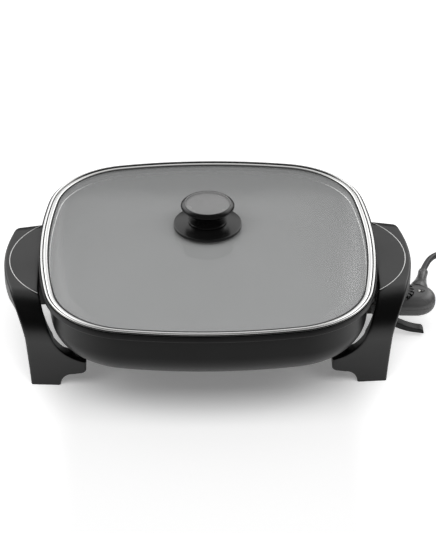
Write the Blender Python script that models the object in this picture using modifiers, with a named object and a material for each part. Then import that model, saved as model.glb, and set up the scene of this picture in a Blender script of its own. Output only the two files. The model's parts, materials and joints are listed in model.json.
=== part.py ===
"""Square electric skillet: a non-stick pan on two handles with legs, a glass lid and a plug-in heat control.

Metres, +Z up, floor at z = 0. The pan's middle is the design origin, and the root empty shifts everything so that
the object's own box, without its cord, is centred on the world's origin. +X is the control's side, +Y the back.
"""

import math

import bmesh
import bpy
from mathutils import Vector

# Fits
GAP = 0.0003
OVERRUN = 0.004
MERGE = 0.00001

# Lid and pan outline
LID_HALF = 0.1525
SIDE_RADIUS = 0.475
CORNER_RADIUS = 0.080
RIM_HEIGHT = 0.098

# Pan
LIP_REACH = 0.0015
LIP_THICK = 0.0035
PAN_DEPTH = 0.0495
WALL_INSET = 0.0045
WALL_LEAN = 0.0008
WALL_THICK = 0.0045
FLOOR_THICK = 0.004
HEEL_RADIUS = 0.0245
HEEL_STEPS = 4
INNER_HEEL_STEPS = 3

# Heating element in its channel under the pan
ELEMENT_INSET = 0.055
ELEMENT_RADIUS = 0.00375
CHANNEL_PLAY = 0.0004
CHANNEL_WALL = 0.002
CHANNEL_HEIGHT = 0.0045
ELEMENT_BEND = 0.012
PIN_DROP = 0.0105
PIN_SPACING = 0.019
PIN_RADIUS = 0.0024
PIN_LENGTH = 0.025

# Terminal guard, its screws and the probe well
GUARD_SETBACK = 0.0065
GUARD_LENGTH = 0.034
GUARD_SHEET = 0.0015
EAR_WIDTH = 0.013
EAR_LENGTH = 0.012
GUARD_SCREW_RADIUS = 0.0015
GUARD_SCREW_GRIP = 0.0028
WELL_RADIUS = 0.0042
WELL_WALL = 0.0013
WELL_LENGTH = 0.026

# Handles with their legs. Their reaches in X are from the lid's side.
WING_PROUD = 0.0334
WING_SETBACK = 0.0
WING_DROP = 0.011
WING_THICK = 0.013
WING_SKIRT = 0.015
WING_SKIRT_AT = 0.045
WING_HALF_DEPTH = 0.084
WING_BEND = 0.030
WING_EDGE_RADIUS = 0.165
LEG_THICK = 0.012
LEG_TOP_LEAN = math.radians(16)
LEG_WAIST_SETBACK = 0.0088
LEG_WAIST_HEIGHT = 0.022
FOOT_SETBACK = 0.0065
LEG_TOP_PROUD = 0.0127
FOOT_PROUD = 0.0087
LEG_FLARE_PROUD = 0.0112
LEG_FLARE_HEIGHT = 0.028
CRADLE_TOP_INSET = 0.0129
CRADLE_TURN_INSET = 0.0218
CRADLE_TURN_HEIGHT = 0.031
TOE_TIP_INSET = 0.0415
TOE_TOP = 0.0265
TOE_HEIGHT = 0.0131
TOE_THICK = 0.019
TOE_ROUND = 0.004
ARCH_INSET = 0.031
ARCH_RADIUS = 0.013
ARCH_SINK = 0.001
EDGE_ROUND = 0.0022
FACE_ROOT_INSET = 0.013
FACE_SLANT_TOP = 0.0066
FACE_SLANT_FOOT = 0.0015
ARC_RADIUS = 0.0772
ARC_PROUD = 0.0283
ARC_WIDTH = 0.0012
ARC_DEPTH = 0.0006

# Handle screws and the pan's bosses for them
BOSS_RADIUS = 0.0055
BOSS_SETBACK = 0.0135
BOSS_SINK = 0.002
SCREW_RADIUS = 0.002
SCREW_HEAD_RADIUS = 0.0036
SCREW_HEAD_HEIGHT = 0.003
SCREW_SEAT = 0.0085
SCREW_GRIP = 0.012

# Lid
BEAD_RADIUS = 0.0017
RIM_WIDE = 0.0073
RIM_SHEET = 0.0008
BAND_CROWN = 0.0021
BAND_FALL = 0.0003
GLASS_LIFT = 0.0011
GLASS_THICK = 0.0032
GLASS_MARGIN = 0.013
DOME_RISE = 0.0164

# Knob
SKIRT_RADIUS = 0.031
SKIRT_HEIGHT = 0.0066
GRIP_RADIUS = 0.0243
GRIP_HEIGHT = 0.0173
KNOB_BORE = 0.0028
GASKET_RADIUS = 0.011
GASKET_THICK = 0.001
KNOB_SCREW_RADIUS = 0.0024
KNOB_SCREW_DEPTH = 0.010
WASHER_RADIUS = 0.008
WASHER_THICK = 0.001
KNOB_HEAD_RADIUS = 0.005
KNOB_HEAD_HEIGHT = 0.002

# Heat control
CONTROL_STANDOFF = 0.004
CONTROL_LENGTH = 0.061
CONTROL_FRONT_HALF = 0.016
CONTROL_END_RADIUS = 0.018
CONTROL_TOP = 0.0095
CONTROL_BOTTOM = 0.0115
HOUSING_WALL = 0.002
DIAL_SEAT = 0.0045
NOSE_HALF = 0.015
NOSE_HEIGHT = 0.0104
NOSE_REACH = 0.014
NOSE_TAIL = 0.008
RECEPTACLE_RADIUS = 0.003
RECEPTACLE_INSET = 0.001
PROBE_RADIUS = 0.0026
PROBE_REACH = 0.046
DIAL_PLACE = 0.0255
DIAL_RADIUS = 0.0155
DIAL_THICK = 0.0049
DIAL_RECESS = 0.0027
NOTCH_RADIUS = 0.0014
NOTCH_COUNT = 12
SPINDLE_RADIUS = 0.003
THERMOSTAT_LENGTH = 0.022
THERMOSTAT_HALF = 0.0072
THERMOSTAT_GAP = 0.004
LENS_PLACE = 0.0473
LENS_LONG = 0.003
LENS_SHORT = 0.0022
LENS_DEPTH = 0.0055
LENS_PROUD = 0.0003
LAMP_RADIUS = 0.0018
LAMP_LENGTH = 0.005
HOUSING_SCREW_RADIUS = 0.0015
HOUSING_SCREW_HEAD = 0.0028
HOUSING_SCREW_SPREAD = 0.0065
HOUSING_SCREW_PLACE = 0.038
HOUSING_POST_RADIUS = 0.0032
HOUSING_POST_LEVEL = 0.003

# Release trigger
PIVOT_PLACE = 0.010
PIVOT_DROP = 0.015
HUB_RADIUS = 0.0042
TRIGGER_HALF = 0.005
TRIGGER_REACH = 0.041
TRIGGER_DROP = 0.0194
FINGER_REACH = 0.011
FINGER_RISE = 0.0085
TRIGGER_PIN_RADIUS = 0.0015
LUG_INNER = 0.0084
LUG_THICK = 0.0024
LUG_HALF = 0.0042
SPRING_RADIUS = 0.0027
SPRING_WIRE = 0.0003
SPRING_TURNS = 2
SPRING_PITCH = 0.001

# Strain relief and cord
RELIEF_TURN = math.radians(12.7)
RELIEF_END = 0.0502
RELIEF_START = 0.0118
RELIEF_SEAT = 0.0143
RELIEF_ROOT = 0.0155
RELIEF_ROOT_RADIUS = 0.0085
RELIEF_TIP_RADIUS = 0.0037
RELIEF_NECK_RADIUS = 0.0048
RELIEF_FLANGE_RADIUS = 0.0063
CORD_DIAMETER = 0.0058
CORD_STEP = 0.012
WINDING_CLEARANCE = 0.0006
COIL_OUT = 0.0895
COIL_Y = 0.0565
COIL_OUTER = 0.0368
COIL_TURNS_IN = 1.5
COIL_TURNS_OUT = 1.66
LOOP_POINTS = 24
COIL_ENTRY = math.radians(68)
COIL_TAIL = 0.052
TIE_THICK = 0.0008
TIE_HALF_WIDTH = 0.004
TIE_TURN = 0.42
PLUG_LENGTH = 0.028
PLUG_WIDTH = 0.024
PLUG_THICK = 0.015
PLUG_ROUND = 0.003
PLUG_NECK = 0.016
BLADE_LENGTH = 0.0175
BLADE_WIDTH = 0.0064
BLADE_THICK = 0.0015
BLADE_SPACING = 0.0127

# The free cord's route, from the strain relief down to the floor and to the coil, with X from the control's end
CORD_ROUTE = (
    (0.0001, 0.0690, 0.0380),
    (0.0070, 0.0795, 0.0365),
    (0.0145, 0.0870, 0.0335),
    (0.0240, 0.0945, 0.0285),
    (0.0365, 0.1005, 0.0222),
    (0.0510, 0.1035, 0.0155),
    (0.0660, 0.1030, 0.0098),
    (0.0795, 0.0998, 0.0062),
)

# Levels and places that follow
PAN_BOTTOM = RIM_HEIGHT - PAN_DEPTH
ELEMENT_LEVEL = PAN_BOTTOM - GAP - ELEMENT_RADIUS
PIN_LEVEL = PAN_BOTTOM - PIN_DROP
GUARD_MOUTH = LID_HALF - GUARD_SETBACK
CONTROL_FRONT = GUARD_MOUTH + CONTROL_STANDOFF
CONTROL_END = CONTROL_FRONT + CONTROL_LENGTH
HANDLE_REACH = LID_HALF + WING_PROUD
WING_INNER = LID_HALF + WING_SETBACK
LEG_WAIST_Y = WING_HALF_DEPTH - LEG_WAIST_SETBACK
FOOT_Y = WING_HALF_DEPTH - FOOT_SETBACK
BOSS_Y = WING_HALF_DEPTH - BOSS_SETBACK
LEG_TOP_OUTER = LID_HALF + LEG_TOP_PROUD
FOOT_OUTER = LID_HALF + FOOT_PROUD
LEG_FLARE_X = LID_HALF + LEG_FLARE_PROUD
CRADLE_TOP_X = LID_HALF - CRADLE_TOP_INSET
CRADLE_TURN_X = LID_HALF - CRADLE_TURN_INSET
FACE_ROOT_X = LID_HALF - FACE_ROOT_INSET
TOE_TIP_X = LID_HALF - TOE_TIP_INSET
ARCH_X = LID_HALF - ARCH_INSET
ARC_REACH = LID_HALF + ARC_PROUD
COIL_X = CONTROL_END + COIL_OUT
CENTRE_SHIFT = (HANDLE_REACH - CONTROL_END) / 2
RELIEF_AXIS = Vector((math.sin(RELIEF_TURN), math.cos(RELIEF_TURN), 0))
WINDING_PITCH = CORD_DIAMETER + WINDING_CLEARANCE
COIL_FLOOR = TIE_THICK + GAP + CORD_DIAMETER / 2


def clear_scene():
    for obj in list(bpy.data.objects):
        bpy.data.objects.remove(obj, do_unlink=True)


def new_collection(name):
    collection = bpy.data.collections.new(name)
    bpy.context.scene.collection.children.link(collection)
    return collection


def material(name, colour, roughness, metallic=0.0, alpha=1.0):
    made = bpy.data.materials.new(name)
    made.use_nodes = True
    shader = made.node_tree.nodes["Principled BSDF"]
    shader.inputs["Base Color"].default_value = (*colour, 1.0)
    shader.inputs["Roughness"].default_value = roughness
    shader.inputs["Metallic"].default_value = metallic
    shader.inputs["Alpha"].default_value = alpha
    made.diffuse_color = (*colour, alpha)
    return made


def frame(name, parent=None, location=(0, 0, 0)):
    """An empty that carries other objects, on the axis that they turn or slide on."""
    empty = bpy.data.objects.new(name, None)
    empty.empty_display_size = GRIP_RADIUS
    empty.parent = parent
    empty.location = location
    PARTS.objects.link(empty)
    return empty


def finish(obj, look, parent, location=(0, 0, 0), rotation=(0, 0, 0)):
    """Gives an object its look, parent and place. A look of None makes it a cutter."""
    obj.parent = parent
    obj.location = location
    obj.rotation_euler = rotation
    if look is None:
        obj.hide_render = True
        obj.display_type = "WIRE"
        CUTTERS.objects.link(obj)
        return obj
    obj.data.materials.append(look)
    PARTS.objects.link(obj)
    return obj


def mesh_object(name, bm, smooth=40):
    mesh = bpy.data.meshes.new(name)
    bm.to_mesh(mesh)
    bm.free()
    mesh.shade_smooth()
    mesh.set_sharp_from_angle(angle=math.radians(smooth))
    return bpy.data.objects.new(name, mesh)


def loft(name, rings, closed=False, caps=(True, True)):
    """Skins a row of rings of as many points each. A closed loft joins its last ring to its first."""
    bm = bmesh.new()
    rows = [[bm.verts.new(point) for point in ring] for ring in rings]
    pairs = list(zip(rows, rows[1:]))
    if closed:
        pairs.append((rows[-1], rows[0]))
    for low, high in pairs:
        for here in range(len(low)):
            after = (here + 1) % len(low)
            bm.faces.new((low[here], low[after], high[after], high[here]))
    if caps[0] and not closed:
        bm.faces.new(rows[0])
    if caps[1] and not closed:
        bm.faces.new(rows[-1])
    bmesh.ops.recalc_face_normals(bm, faces=bm.faces)
    return mesh_object(name, bm)


def turned(name, profile, steps, closed=False):
    """A profile of (radius, height) points, down the outer side, turned about the local Z axis."""
    mesh = bpy.data.meshes.new(name)
    points = [(radius, 0, height) for radius, height in profile]
    edges = [(here, here + 1) for here in range(len(points) - 1)]
    if closed:
        edges.append((len(points) - 1, 0))
    mesh.from_pydata(points, edges, [])
    obj = bpy.data.objects.new(name, mesh)
    turn = obj.modifiers.new("Turn", "SCREW")
    turn.axis = "Z"
    turn.steps = steps
    turn.render_steps = steps
    turn.use_merge_vertices = True
    turn.merge_threshold = MERGE
    return obj


def sleeve_profile(outer, inner, length):
    """The closed profile of a plain tube that stands on the local origin."""
    return [(outer, length), (outer, 0), (inner, 0), (inner, length)]


def box_mesh(bm, low, high):
    made = bmesh.ops.create_cube(bm, size=1)
    size = Vector(high) - Vector(low)
    middle = (Vector(high) + Vector(low)) / 2
    bmesh.ops.scale(bm, vec=size, verts=made["verts"])
    bmesh.ops.translate(bm, vec=middle, verts=made["verts"])


def boxes(name, spans, bevel=0.0):
    """One object of boxes, each from its low corner to its high corner."""
    bm = bmesh.new()
    for low, high in spans:
        box_mesh(bm, low, high)
    obj = mesh_object(name, bm, smooth=50)
    if bevel:
        rounding = obj.modifiers.new("Rounded edges", "BEVEL")
        rounding.width = bevel
        rounding.segments = 2
    return obj


def posts(name, places, radius, low, high, sides=20, shape=(1, 1)):
    """One object of upright cylinders of one radius, at each (x, y), from z = low to z = high."""
    bm = bmesh.new()
    for x, y in places:
        made = bmesh.ops.create_cone(
            bm, cap_ends=True, segments=sides, radius1=radius, radius2=radius, depth=high - low
        )
        bmesh.ops.scale(bm, vec=(*shape, 1), verts=made["verts"])
        bmesh.ops.translate(bm, vec=(x, y, (low + high) / 2), verts=made["verts"])
    return mesh_object(name, bm)


def tube(name, points, radius, resolution=2):
    """A round tube on a poly spline through the points, with closed ends."""
    curve = bpy.data.curves.new(name, "CURVE")
    curve.dimensions = "3D"
    curve.bevel_depth = radius
    curve.bevel_resolution = resolution
    curve.use_fill_caps = True
    spline = curve.splines.new("POLY")
    spline.points.add(len(points) - 1)
    for knot, point in zip(spline.points, points):
        knot.co = (*point, 1)
    return bpy.data.objects.new(name, curve)


def plate(name, outlines, half_thickness):
    """A flat plate in the local XY plane. A second outline inside the first is a hole."""
    curve = bpy.data.curves.new(name, "CURVE")
    curve.dimensions = "2D"
    curve.fill_mode = "BOTH"
    curve.extrude = half_thickness
    for outline in outlines:
        spline = curve.splines.new("POLY")
        spline.points.add(len(outline) - 1)
        spline.use_cyclic_u = True
        for knot, (x, y) in zip(spline.points, outline):
            knot.co = (x, y, 0, 1)
    return bpy.data.objects.new(name, curve)


def combine(obj, other, operation, name):
    modifier = obj.modifiers.new(name, "BOOLEAN")
    modifier.operation = operation
    modifier.object = other
    modifier.solver = "EXACT"


def circle(radius, steps, centre=(0, 0), start=0.0, sweep=2 * math.pi, end=False):
    """Points on an arc, anticlockwise. The last one is left out unless end is set."""
    count = steps + 1 if end else steps
    angles = [start + sweep * step / steps for step in range(count)]
    return [(centre[0] + radius * math.cos(a), centre[1] + radius * math.sin(a)) for a in angles]


def square_ring(inset, z, scale=1.0):
    """The lid's outline drawn in by inset: four bulging sides and four round corners, all true arcs."""
    side_centre = LID_HALF - SIDE_RADIUS
    spread = 2 * (SIDE_RADIUS - CORNER_RADIUS) ** 2 - side_centre**2
    corner = (side_centre + math.sqrt(spread)) / 2
    edge = math.atan2(corner, corner - side_centre)
    side = circle(SIDE_RADIUS - inset, 4, (side_centre, 0), -edge, 2 * edge)
    bend = circle(CORNER_RADIUS - inset, 8, (corner, corner), edge, math.pi / 2 - 2 * edge)
    quarter = side + bend
    ring = []
    for turn in range(4):
        cos, sin = round(math.cos(turn * math.pi / 2)), round(math.sin(turn * math.pi / 2))
        ring += [(scale * (x * cos - y * sin), scale * (x * sin + y * cos), z) for x, y in quarter]
    return ring


def heel(wall_inset, radius, bottom, steps):
    """Rings of a round heel from an upright wall to a flat bottom, from the wall inwards."""
    rings = []
    for step in range(steps + 1):
        angle = math.pi / 2 * step / steps
        inset = wall_inset + radius * (1 - math.cos(angle))
        rings.append(square_ring(inset, bottom + radius * (1 - math.sin(angle))))
    return rings


def make_pan(root, look):
    top = RIM_HEIGHT - GAP
    lip_bottom = top - LIP_THICK
    edge = LIP_THICK / 4
    inner_inset = WALL_INSET + WALL_THICK
    inner_radius = HEEL_RADIUS - WALL_THICK
    inside = heel(inner_inset + WALL_LEAN, inner_radius, PAN_BOTTOM + FLOOR_THICK, INNER_HEEL_STEPS)
    rings = inside[::-1]
    rings.append(square_ring(inner_inset, top - 2 * LIP_THICK))
    rings.append(square_ring(inner_inset - WALL_THICK / 4, top - LIP_THICK / 2))
    rings.append(square_ring(inner_inset - WALL_THICK / 2, top))
    rings.append(square_ring(edge - LIP_REACH, top))
    rings.append(square_ring(-LIP_REACH, top - edge))
    rings.append(square_ring(-LIP_REACH, lip_bottom + edge))
    rings.append(square_ring(edge - LIP_REACH, lip_bottom))
    rings.append(square_ring(WALL_INSET, lip_bottom - edge))
    rings += heel(WALL_INSET + WALL_LEAN, HEEL_RADIUS, PAN_BOTTOM, HEEL_STEPS)
    channel = ELEMENT_RADIUS + CHANNEL_PLAY
    rib_foot = PAN_BOTTOM - CHANNEL_HEIGHT
    for near, far in ((-channel - CHANNEL_WALL, -channel), (channel, channel + CHANNEL_WALL)):
        rings.append(square_ring(ELEMENT_INSET + near, PAN_BOTTOM))
        rings.append(square_ring(ELEMENT_INSET + near, rib_foot))
        rings.append(square_ring(ELEMENT_INSET + far, rib_foot))
        rings.append(square_ring(ELEMENT_INSET + far, PAN_BOTTOM))
    pan = finish(loft("pan", rings), look, root)

    slot_x = LID_HALF - ELEMENT_INSET
    slot_half = PIN_SPACING / 2 + ELEMENT_BEND + 2 * ELEMENT_RADIUS
    slot_low = (slot_x - channel - 2 * CHANNEL_WALL, -slot_half, rib_foot - OVERRUN)
    slot_high = (slot_x + channel + 2 * CHANNEL_WALL, slot_half, PAN_BOTTOM)
    slot = finish(boxes("cut_channel_mouth", [(slot_low, slot_high)]), None, root)
    combine(pan, slot, "DIFFERENCE", "Channel mouth")

    boss_foot = toe_pocket_floor() + GAP
    boss_root = PAN_BOTTOM + FLOOR_THICK / 2
    bosses = posts("join_bosses", boss_places(), BOSS_RADIUS, boss_foot, boss_root)
    combine(pan, finish(bosses, None, root), "UNION", "Handle bosses")
    pad_low = (LID_HALF - ELEMENT_INSET + WELL_RADIUS, -WELL_RADIUS / 2, PIN_LEVEL + WELL_RADIUS + GAP)
    pad_high = (pad_low[0] + 2 * WELL_RADIUS, WELL_RADIUS / 2, boss_root)
    combine(pan, finish(boxes("join_well_pad", [(pad_low, pad_high)]), None, root), "UNION", "Well pad")

    hole_top = toe_pocket_floor() + SCREW_GRIP + GAP
    holes = posts("cut_boss_holes", boss_places(), SCREW_RADIUS + GAP, boss_foot - OVERRUN, hole_top, 12)
    combine(pan, finish(holes, None, root), "DIFFERENCE", "Boss holes")
    guard_hole_top = PAN_BOTTOM + GUARD_SCREW_GRIP + GAP
    radius = GUARD_SCREW_RADIUS + GAP
    guard_holes = posts("cut_guard_holes", ear_places(), radius, PAN_BOTTOM - OVERRUN, guard_hole_top, 12)
    combine(pan, finish(guard_holes, None, root), "DIFFERENCE", "Guard screw holes")


def boss_places():
    x = TOE_TIP_X + SCREW_SEAT
    return [(across * x, along * BOSS_Y) for across in (-1, 1) for along in (-1, 1)]


def ear_places():
    x = GUARD_MOUTH - GUARD_LENGTH + EAR_LENGTH / 2
    y = NOSE_HALF + GAP + GUARD_SHEET + EAR_WIDTH / 2
    return [(x, -y), (x, y)]


def toe_pocket_floor():
    """Height of the seat on which a pan boss stands in a leg's toe."""
    return TOE_TOP - BOSS_SINK


def make_element(root, look):
    """The tubular element: a loop in the pan's channel whose two ends turn out and dip to the pins."""
    half = LID_HALF - ELEMENT_INSET
    leg = PIN_SPACING / 2
    ring = [Vector(point) for point in square_ring(ELEMENT_INSET, ELEMENT_LEVEL)]
    loop = [point for point in ring if point.x < half - ELEMENT_BEND or abs(point.y) > leg + ELEMENT_BEND]
    loop.sort(key=lambda point: math.atan2(point.y, point.x) % (2 * math.pi))
    bend_centre = (half + ELEMENT_BEND, leg + ELEMENT_BEND)
    bend = []
    for step in range(7):
        angle = math.pi + math.pi / 2 * step / 6
        x = bend_centre[0] + ELEMENT_BEND * math.cos(angle)
        y = bend_centre[1] + ELEMENT_BEND * math.sin(angle)
        ease = (1 - math.cos(math.pi * step / 6)) / 2
        bend.append(Vector((x, y, ELEMENT_LEVEL + (PIN_LEVEL - ELEMENT_LEVEL) * ease)))
    end = Vector((element_end(), leg, PIN_LEVEL))
    start = [end] + bend[::-1]
    finish_run = [Vector((point.x, -point.y, point.z)) for point in reversed(start)]
    finish(tube("heating_element", start + loop + finish_run, ELEMENT_RADIUS, 1), look, root)


def element_end():
    return GUARD_MOUTH - GUARD_LENGTH + EAR_LENGTH / 2


def make_pins(root, look):
    for name, side in (("terminal_pin_front", -1), ("terminal_pin_back", 1)):
        pin = posts(name, [(0, 0)], PIN_RADIUS, 0, PIN_LENGTH, 12)
        place = (element_end() + GAP, side * PIN_SPACING / 2, PIN_LEVEL)
        finish(pin, look, root, place, (0, math.pi / 2, 0))


def make_guard(root, look):
    """A sheet sleeve round the pins, open at both ends, with an ear on each side."""
    back = GUARD_MOUTH - GUARD_LENGTH
    half = NOSE_HALF + GAP + GUARD_SHEET
    top = PAN_BOTTOM - GAP
    inner_low = PIN_LEVEL - NOSE_HEIGHT / 2 - GAP
    body = ((back, -half, inner_low - GUARD_SHEET), (GUARD_MOUTH, half, top))
    guard = finish(boxes("terminal_guard", [body]), look, root)
    hollow = (
        (back - OVERRUN, GUARD_SHEET - half, inner_low),
        (GUARD_MOUTH + OVERRUN, half - GUARD_SHEET, top - GUARD_SHEET),
    )
    ears = ((back, -half - EAR_WIDTH, top - GUARD_SHEET), (back + EAR_LENGTH, half + EAR_WIDTH, top))
    combine(guard, finish(boxes("join_guard_ears", [ears]), None, root), "UNION", "Ears")
    combine(guard, finish(boxes("cut_guard_hollow", [hollow]), None, root), "DIFFERENCE", "Hollow")
    radius = GUARD_SCREW_RADIUS + GAP
    holes = posts("cut_ear_holes", ear_places(), radius, top - 2 * GUARD_SHEET, top + OVERRUN, 12)
    combine(guard, finish(holes, None, root), "DIFFERENCE", "Ear holes")


def screw_profile(head_radius, head_height, radius, length):
    """A pan-head screw, head down, its shank standing up from the local origin."""
    return [
        (0, length),
        (radius, length - radius / 2),
        (radius, 0),
        (head_radius, 0),
        (head_radius, -head_height * 2 / 3),
        (head_radius * 2 / 3, -head_height),
        (0, -head_height),
    ]


def make_guard_screws(root, look):
    head = 2 * GUARD_SCREW_RADIUS
    length = GUARD_SHEET + 2 * GAP + GUARD_SCREW_GRIP
    for name, (x, y) in zip(("guard_screw_front", "guard_screw_back"), ear_places()):
        profile = screw_profile(head, GUARD_SCREW_RADIUS, GUARD_SCREW_RADIUS, length)
        seat = PAN_BOTTOM - 2 * GAP - GUARD_SHEET
        finish(turned(name, profile, 10), look, root, (x, y, seat))


def make_well(root, look):
    """A closed-end tube under the pan that the control's probe slides into."""
    inner = WELL_RADIUS - WELL_WALL
    profile = [
        (0, 0),
        (WELL_RADIUS, 0),
        (WELL_RADIUS, -WELL_LENGTH),
        (inner, -WELL_LENGTH),
        (inner, -WELL_WALL),
        (0, -WELL_WALL),
    ]
    place = (LID_HALF - ELEMENT_INSET + GAP, 0, PIN_LEVEL)
    finish(turned("probe_well", profile, 16), look, root, place, (0, -math.pi / 2, 0))


def bezier(start, turn, end, share):
    rest = 1 - share
    return tuple(rest**2 * a + 2 * rest * share * b + share**2 * c for a, b, c in zip(start, turn, end))


def leg_bend_end():
    """Distance from the middle and height at which the wing's bend hands over to the leg."""
    centre_y = WING_HALF_DEPTH - WING_BEND
    centre_z = RIM_HEIGHT - WING_DROP - WING_BEND
    return centre_y + WING_BEND * math.cos(LEG_TOP_LEAN), centre_z - WING_BEND * math.sin(LEG_TOP_LEAN)


def bezier_at_height(start, turn, foot, z):
    """The first coordinate of a curve of (value, height) points, where it passes the height z."""
    a = start[1] - 2 * turn[1] + foot[1]
    b = 2 * (turn[1] - start[1])
    c = start[1] - z
    if abs(a) < MERGE:
        share = -c / b
    else:
        share = (-b - math.sqrt(max(b * b - 4 * a * c, 0))) / (2 * a)
    return bezier(start, turn, foot, min(max(share, 0.0), 1.0))[0]


def leg_face(z):
    """Distance from the middle of a leg's outer face at height z: in to a waist and out to the foot."""
    return bezier_at_height(leg_bend_end(), (LEG_WAIST_Y, LEG_WAIST_HEIGHT), (FOOT_Y, 0), z)


def leg_outer_x(z):
    """The leg's outer edge: a curve from the wing's edge, drawn in at the waist, down to the foot."""
    top = (LEG_TOP_OUTER, leg_bend_end()[1])
    return bezier_at_height(top, (LEG_FLARE_X, LEG_FLARE_HEIGHT), (FOOT_OUTER, 0), z)


def wing_outer_x(y):
    """The wing's outer edge, an arc in plan, taken where the slanted front face brings this y."""
    drawn = y * (1 - FACE_SLANT_TOP * (HANDLE_REACH - FACE_ROOT_X) / face_span() / WING_HALF_DEPTH)
    return HANDLE_REACH - WING_EDGE_RADIUS + math.sqrt(WING_EDGE_RADIUS**2 - drawn**2)


def face_span():
    return FOOT_OUTER - FACE_ROOT_X


def smooth(share):
    share = min(max(share, 0.0), 1.0)
    return share * share * (3 - 2 * share)


def handle_stations():
    """(y, z, lean, inner x, outer x, thickness) down half a handle, from the middle of the wing to the foot.

    Lean is the outward normal's angle above level: a right angle on the wing's flat top, and none on the legs,
    whose cuts stay level.
    """
    wing_z = RIM_HEIGHT - WING_DROP
    flat_end = WING_HALF_DEPTH - WING_BEND
    stations = []
    for step in range(4):
        y = flat_end * step / 4
        thick = WING_THICK + (WING_SKIRT - WING_THICK) * smooth(y / WING_SKIRT_AT)
        stations.append((y, wing_z, math.pi / 2, WING_INNER, wing_outer_x(y), thick))
    sweep = math.pi / 2 + LEG_TOP_LEAN
    flat_outer = wing_outer_x(flat_end)
    for step in range(8):
        share = step / 8
        lean = math.pi / 2 - sweep * share
        y = flat_end + WING_BEND * math.cos(lean)
        z = wing_z - WING_BEND + WING_BEND * math.sin(lean)
        ease = smooth(share)
        inner = WING_INNER + (CRADLE_TOP_X - WING_INNER) * share**1.43
        outer = flat_outer + (LEG_TOP_OUTER - flat_outer) * (share + ease) / 2
        thick = WING_SKIRT + (LEG_THICK - WING_SKIRT) * ease
        stations.append((y, z, lean, inner, outer, thick))
    top = leg_bend_end()[1]
    edge = []
    for step in range(9):
        point = bezier((CRADLE_TOP_X, top), (CRADLE_TURN_X, CRADLE_TURN_HEIGHT), (TOE_TIP_X, TOE_TOP), step / 8)
        edge.append(point)
    toe_bottom = TOE_TOP - TOE_HEIGHT
    corner = (TOE_TIP_X + TOE_ROUND, toe_bottom + TOE_ROUND)
    for step in range(3):
        angle = math.pi / 2 * step / 2
        edge.append((corner[0] - TOE_ROUND * math.cos(angle), corner[1] - TOE_ROUND * math.sin(angle)))
    foot_angle = math.asin(ARCH_SINK / ARCH_RADIUS)
    for step in range(6):
        angle = math.pi / 2 - (math.pi / 2 - foot_angle) * step / 5
        x = ARCH_X + ARCH_RADIUS * math.cos(angle)
        edge.append((x, min(ARCH_RADIUS * math.sin(angle) - ARCH_SINK, toe_bottom)))
    for x, z in edge:
        ease = smooth(2 * (top - z) / (top - TOE_TOP) - 1)
        thick = LEG_THICK + (TOE_THICK - LEG_THICK) * ease
        stations.append((leg_face(z), z, 0, x, leg_outer_x(z), thick))
    return stations


def handle_section(station, side):
    """A rounded rectangle across the handle at one station. Level legs keep their cuts level."""
    y, z, lean, inner, outer, thick = station
    normal = (math.cos(lean), math.sin(lean))
    drop = 1 - z / RIM_HEIGHT
    slant = FACE_SLANT_TOP + (FACE_SLANT_FOOT - FACE_SLANT_TOP) * drop
    round_in = min(EDGE_ROUND, thick / 3)
    corner = round_in * (1 - math.sqrt(1 / 2))
    outline = [
        (inner + round_in, 0),
        (outer - round_in, 0),
        (outer - corner, corner),
        (outer, round_in),
        (outer, thick - round_in),
        (outer - round_in, thick),
        (inner + round_in, thick),
        (inner, thick - round_in),
        (inner, round_in),
        (inner + corner, corner),
    ]
    section = []
    for x, depth in outline:
        across = (x - FACE_ROOT_X) / face_span()
        face_y = y - slant * across * min(1.0, y / WING_HALF_DEPTH)
        section.append((side * x, -(face_y - normal[0] * depth), z - normal[1] * depth))
    return section


def make_handle(name, side, root, look):
    """Half a handle, mirrored front to back, with its arc groove, boss pockets and screw seats."""
    rings = [handle_section(station, side) for station in handle_stations()]
    handle = loft(name, rings, caps=(False, True))
    mirror = handle.modifiers.new("Front and back", "MIRROR")
    mirror.use_axis = (False, True, False)
    mirror.use_clip = True
    mirror.merge_threshold = MERGE
    finish(handle, look, root)

    wing_z = RIM_HEIGHT - WING_DROP
    low, high = wing_z - ARC_DEPTH, wing_z + OVERRUN
    ring = sleeve_profile(ARC_RADIUS + ARC_WIDTH / 2, ARC_RADIUS - ARC_WIDTH / 2, high - low)
    groove = turned("cut_arc_" + name, ring, 64, closed=True)
    finish(groove, None, root, (side * (ARC_REACH - ARC_RADIUS), 0, low))
    combine(handle, groove, "DIFFERENCE", "Arc groove")

    places = [place for place in boss_places() if place[0] * side > 0]
    floor = toe_pocket_floor()
    pocket = posts("cut_pockets_" + name, places, BOSS_RADIUS + GAP, floor, PAN_BOTTOM, 24)
    combine(handle, finish(pocket, None, root), "DIFFERENCE", "Boss pockets")
    seat = screw_seat()
    sink = posts("cut_seats_" + name, places, SCREW_HEAD_RADIUS + GAP, -OVERRUN, seat, 24)
    combine(handle, finish(sink, None, root), "DIFFERENCE", "Screw seats")
    bore = posts("cut_bores_" + name, places, SCREW_RADIUS + GAP, seat - OVERRUN, floor + OVERRUN, 16)
    combine(handle, finish(bore, None, root), "DIFFERENCE", "Screw bores")


def screw_seat():
    """Height of the shoulder that a handle screw's head pulls against."""
    return TOE_TOP - TOE_HEIGHT + SCREW_HEAD_HEIGHT + GAP


def make_handle_screws(root, look):
    names = ("left_front", "left_back", "right_front", "right_back")
    length = toe_pocket_floor() - screw_seat() + GAP + SCREW_GRIP
    for name, (x, y) in zip(names, boss_places()):
        profile = screw_profile(SCREW_HEAD_RADIUS, SCREW_HEAD_HEIGHT, SCREW_RADIUS, length)
        finish(turned("handle_screw_" + name, profile, 12), look, root, (x, y, screw_seat() - GAP))


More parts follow.
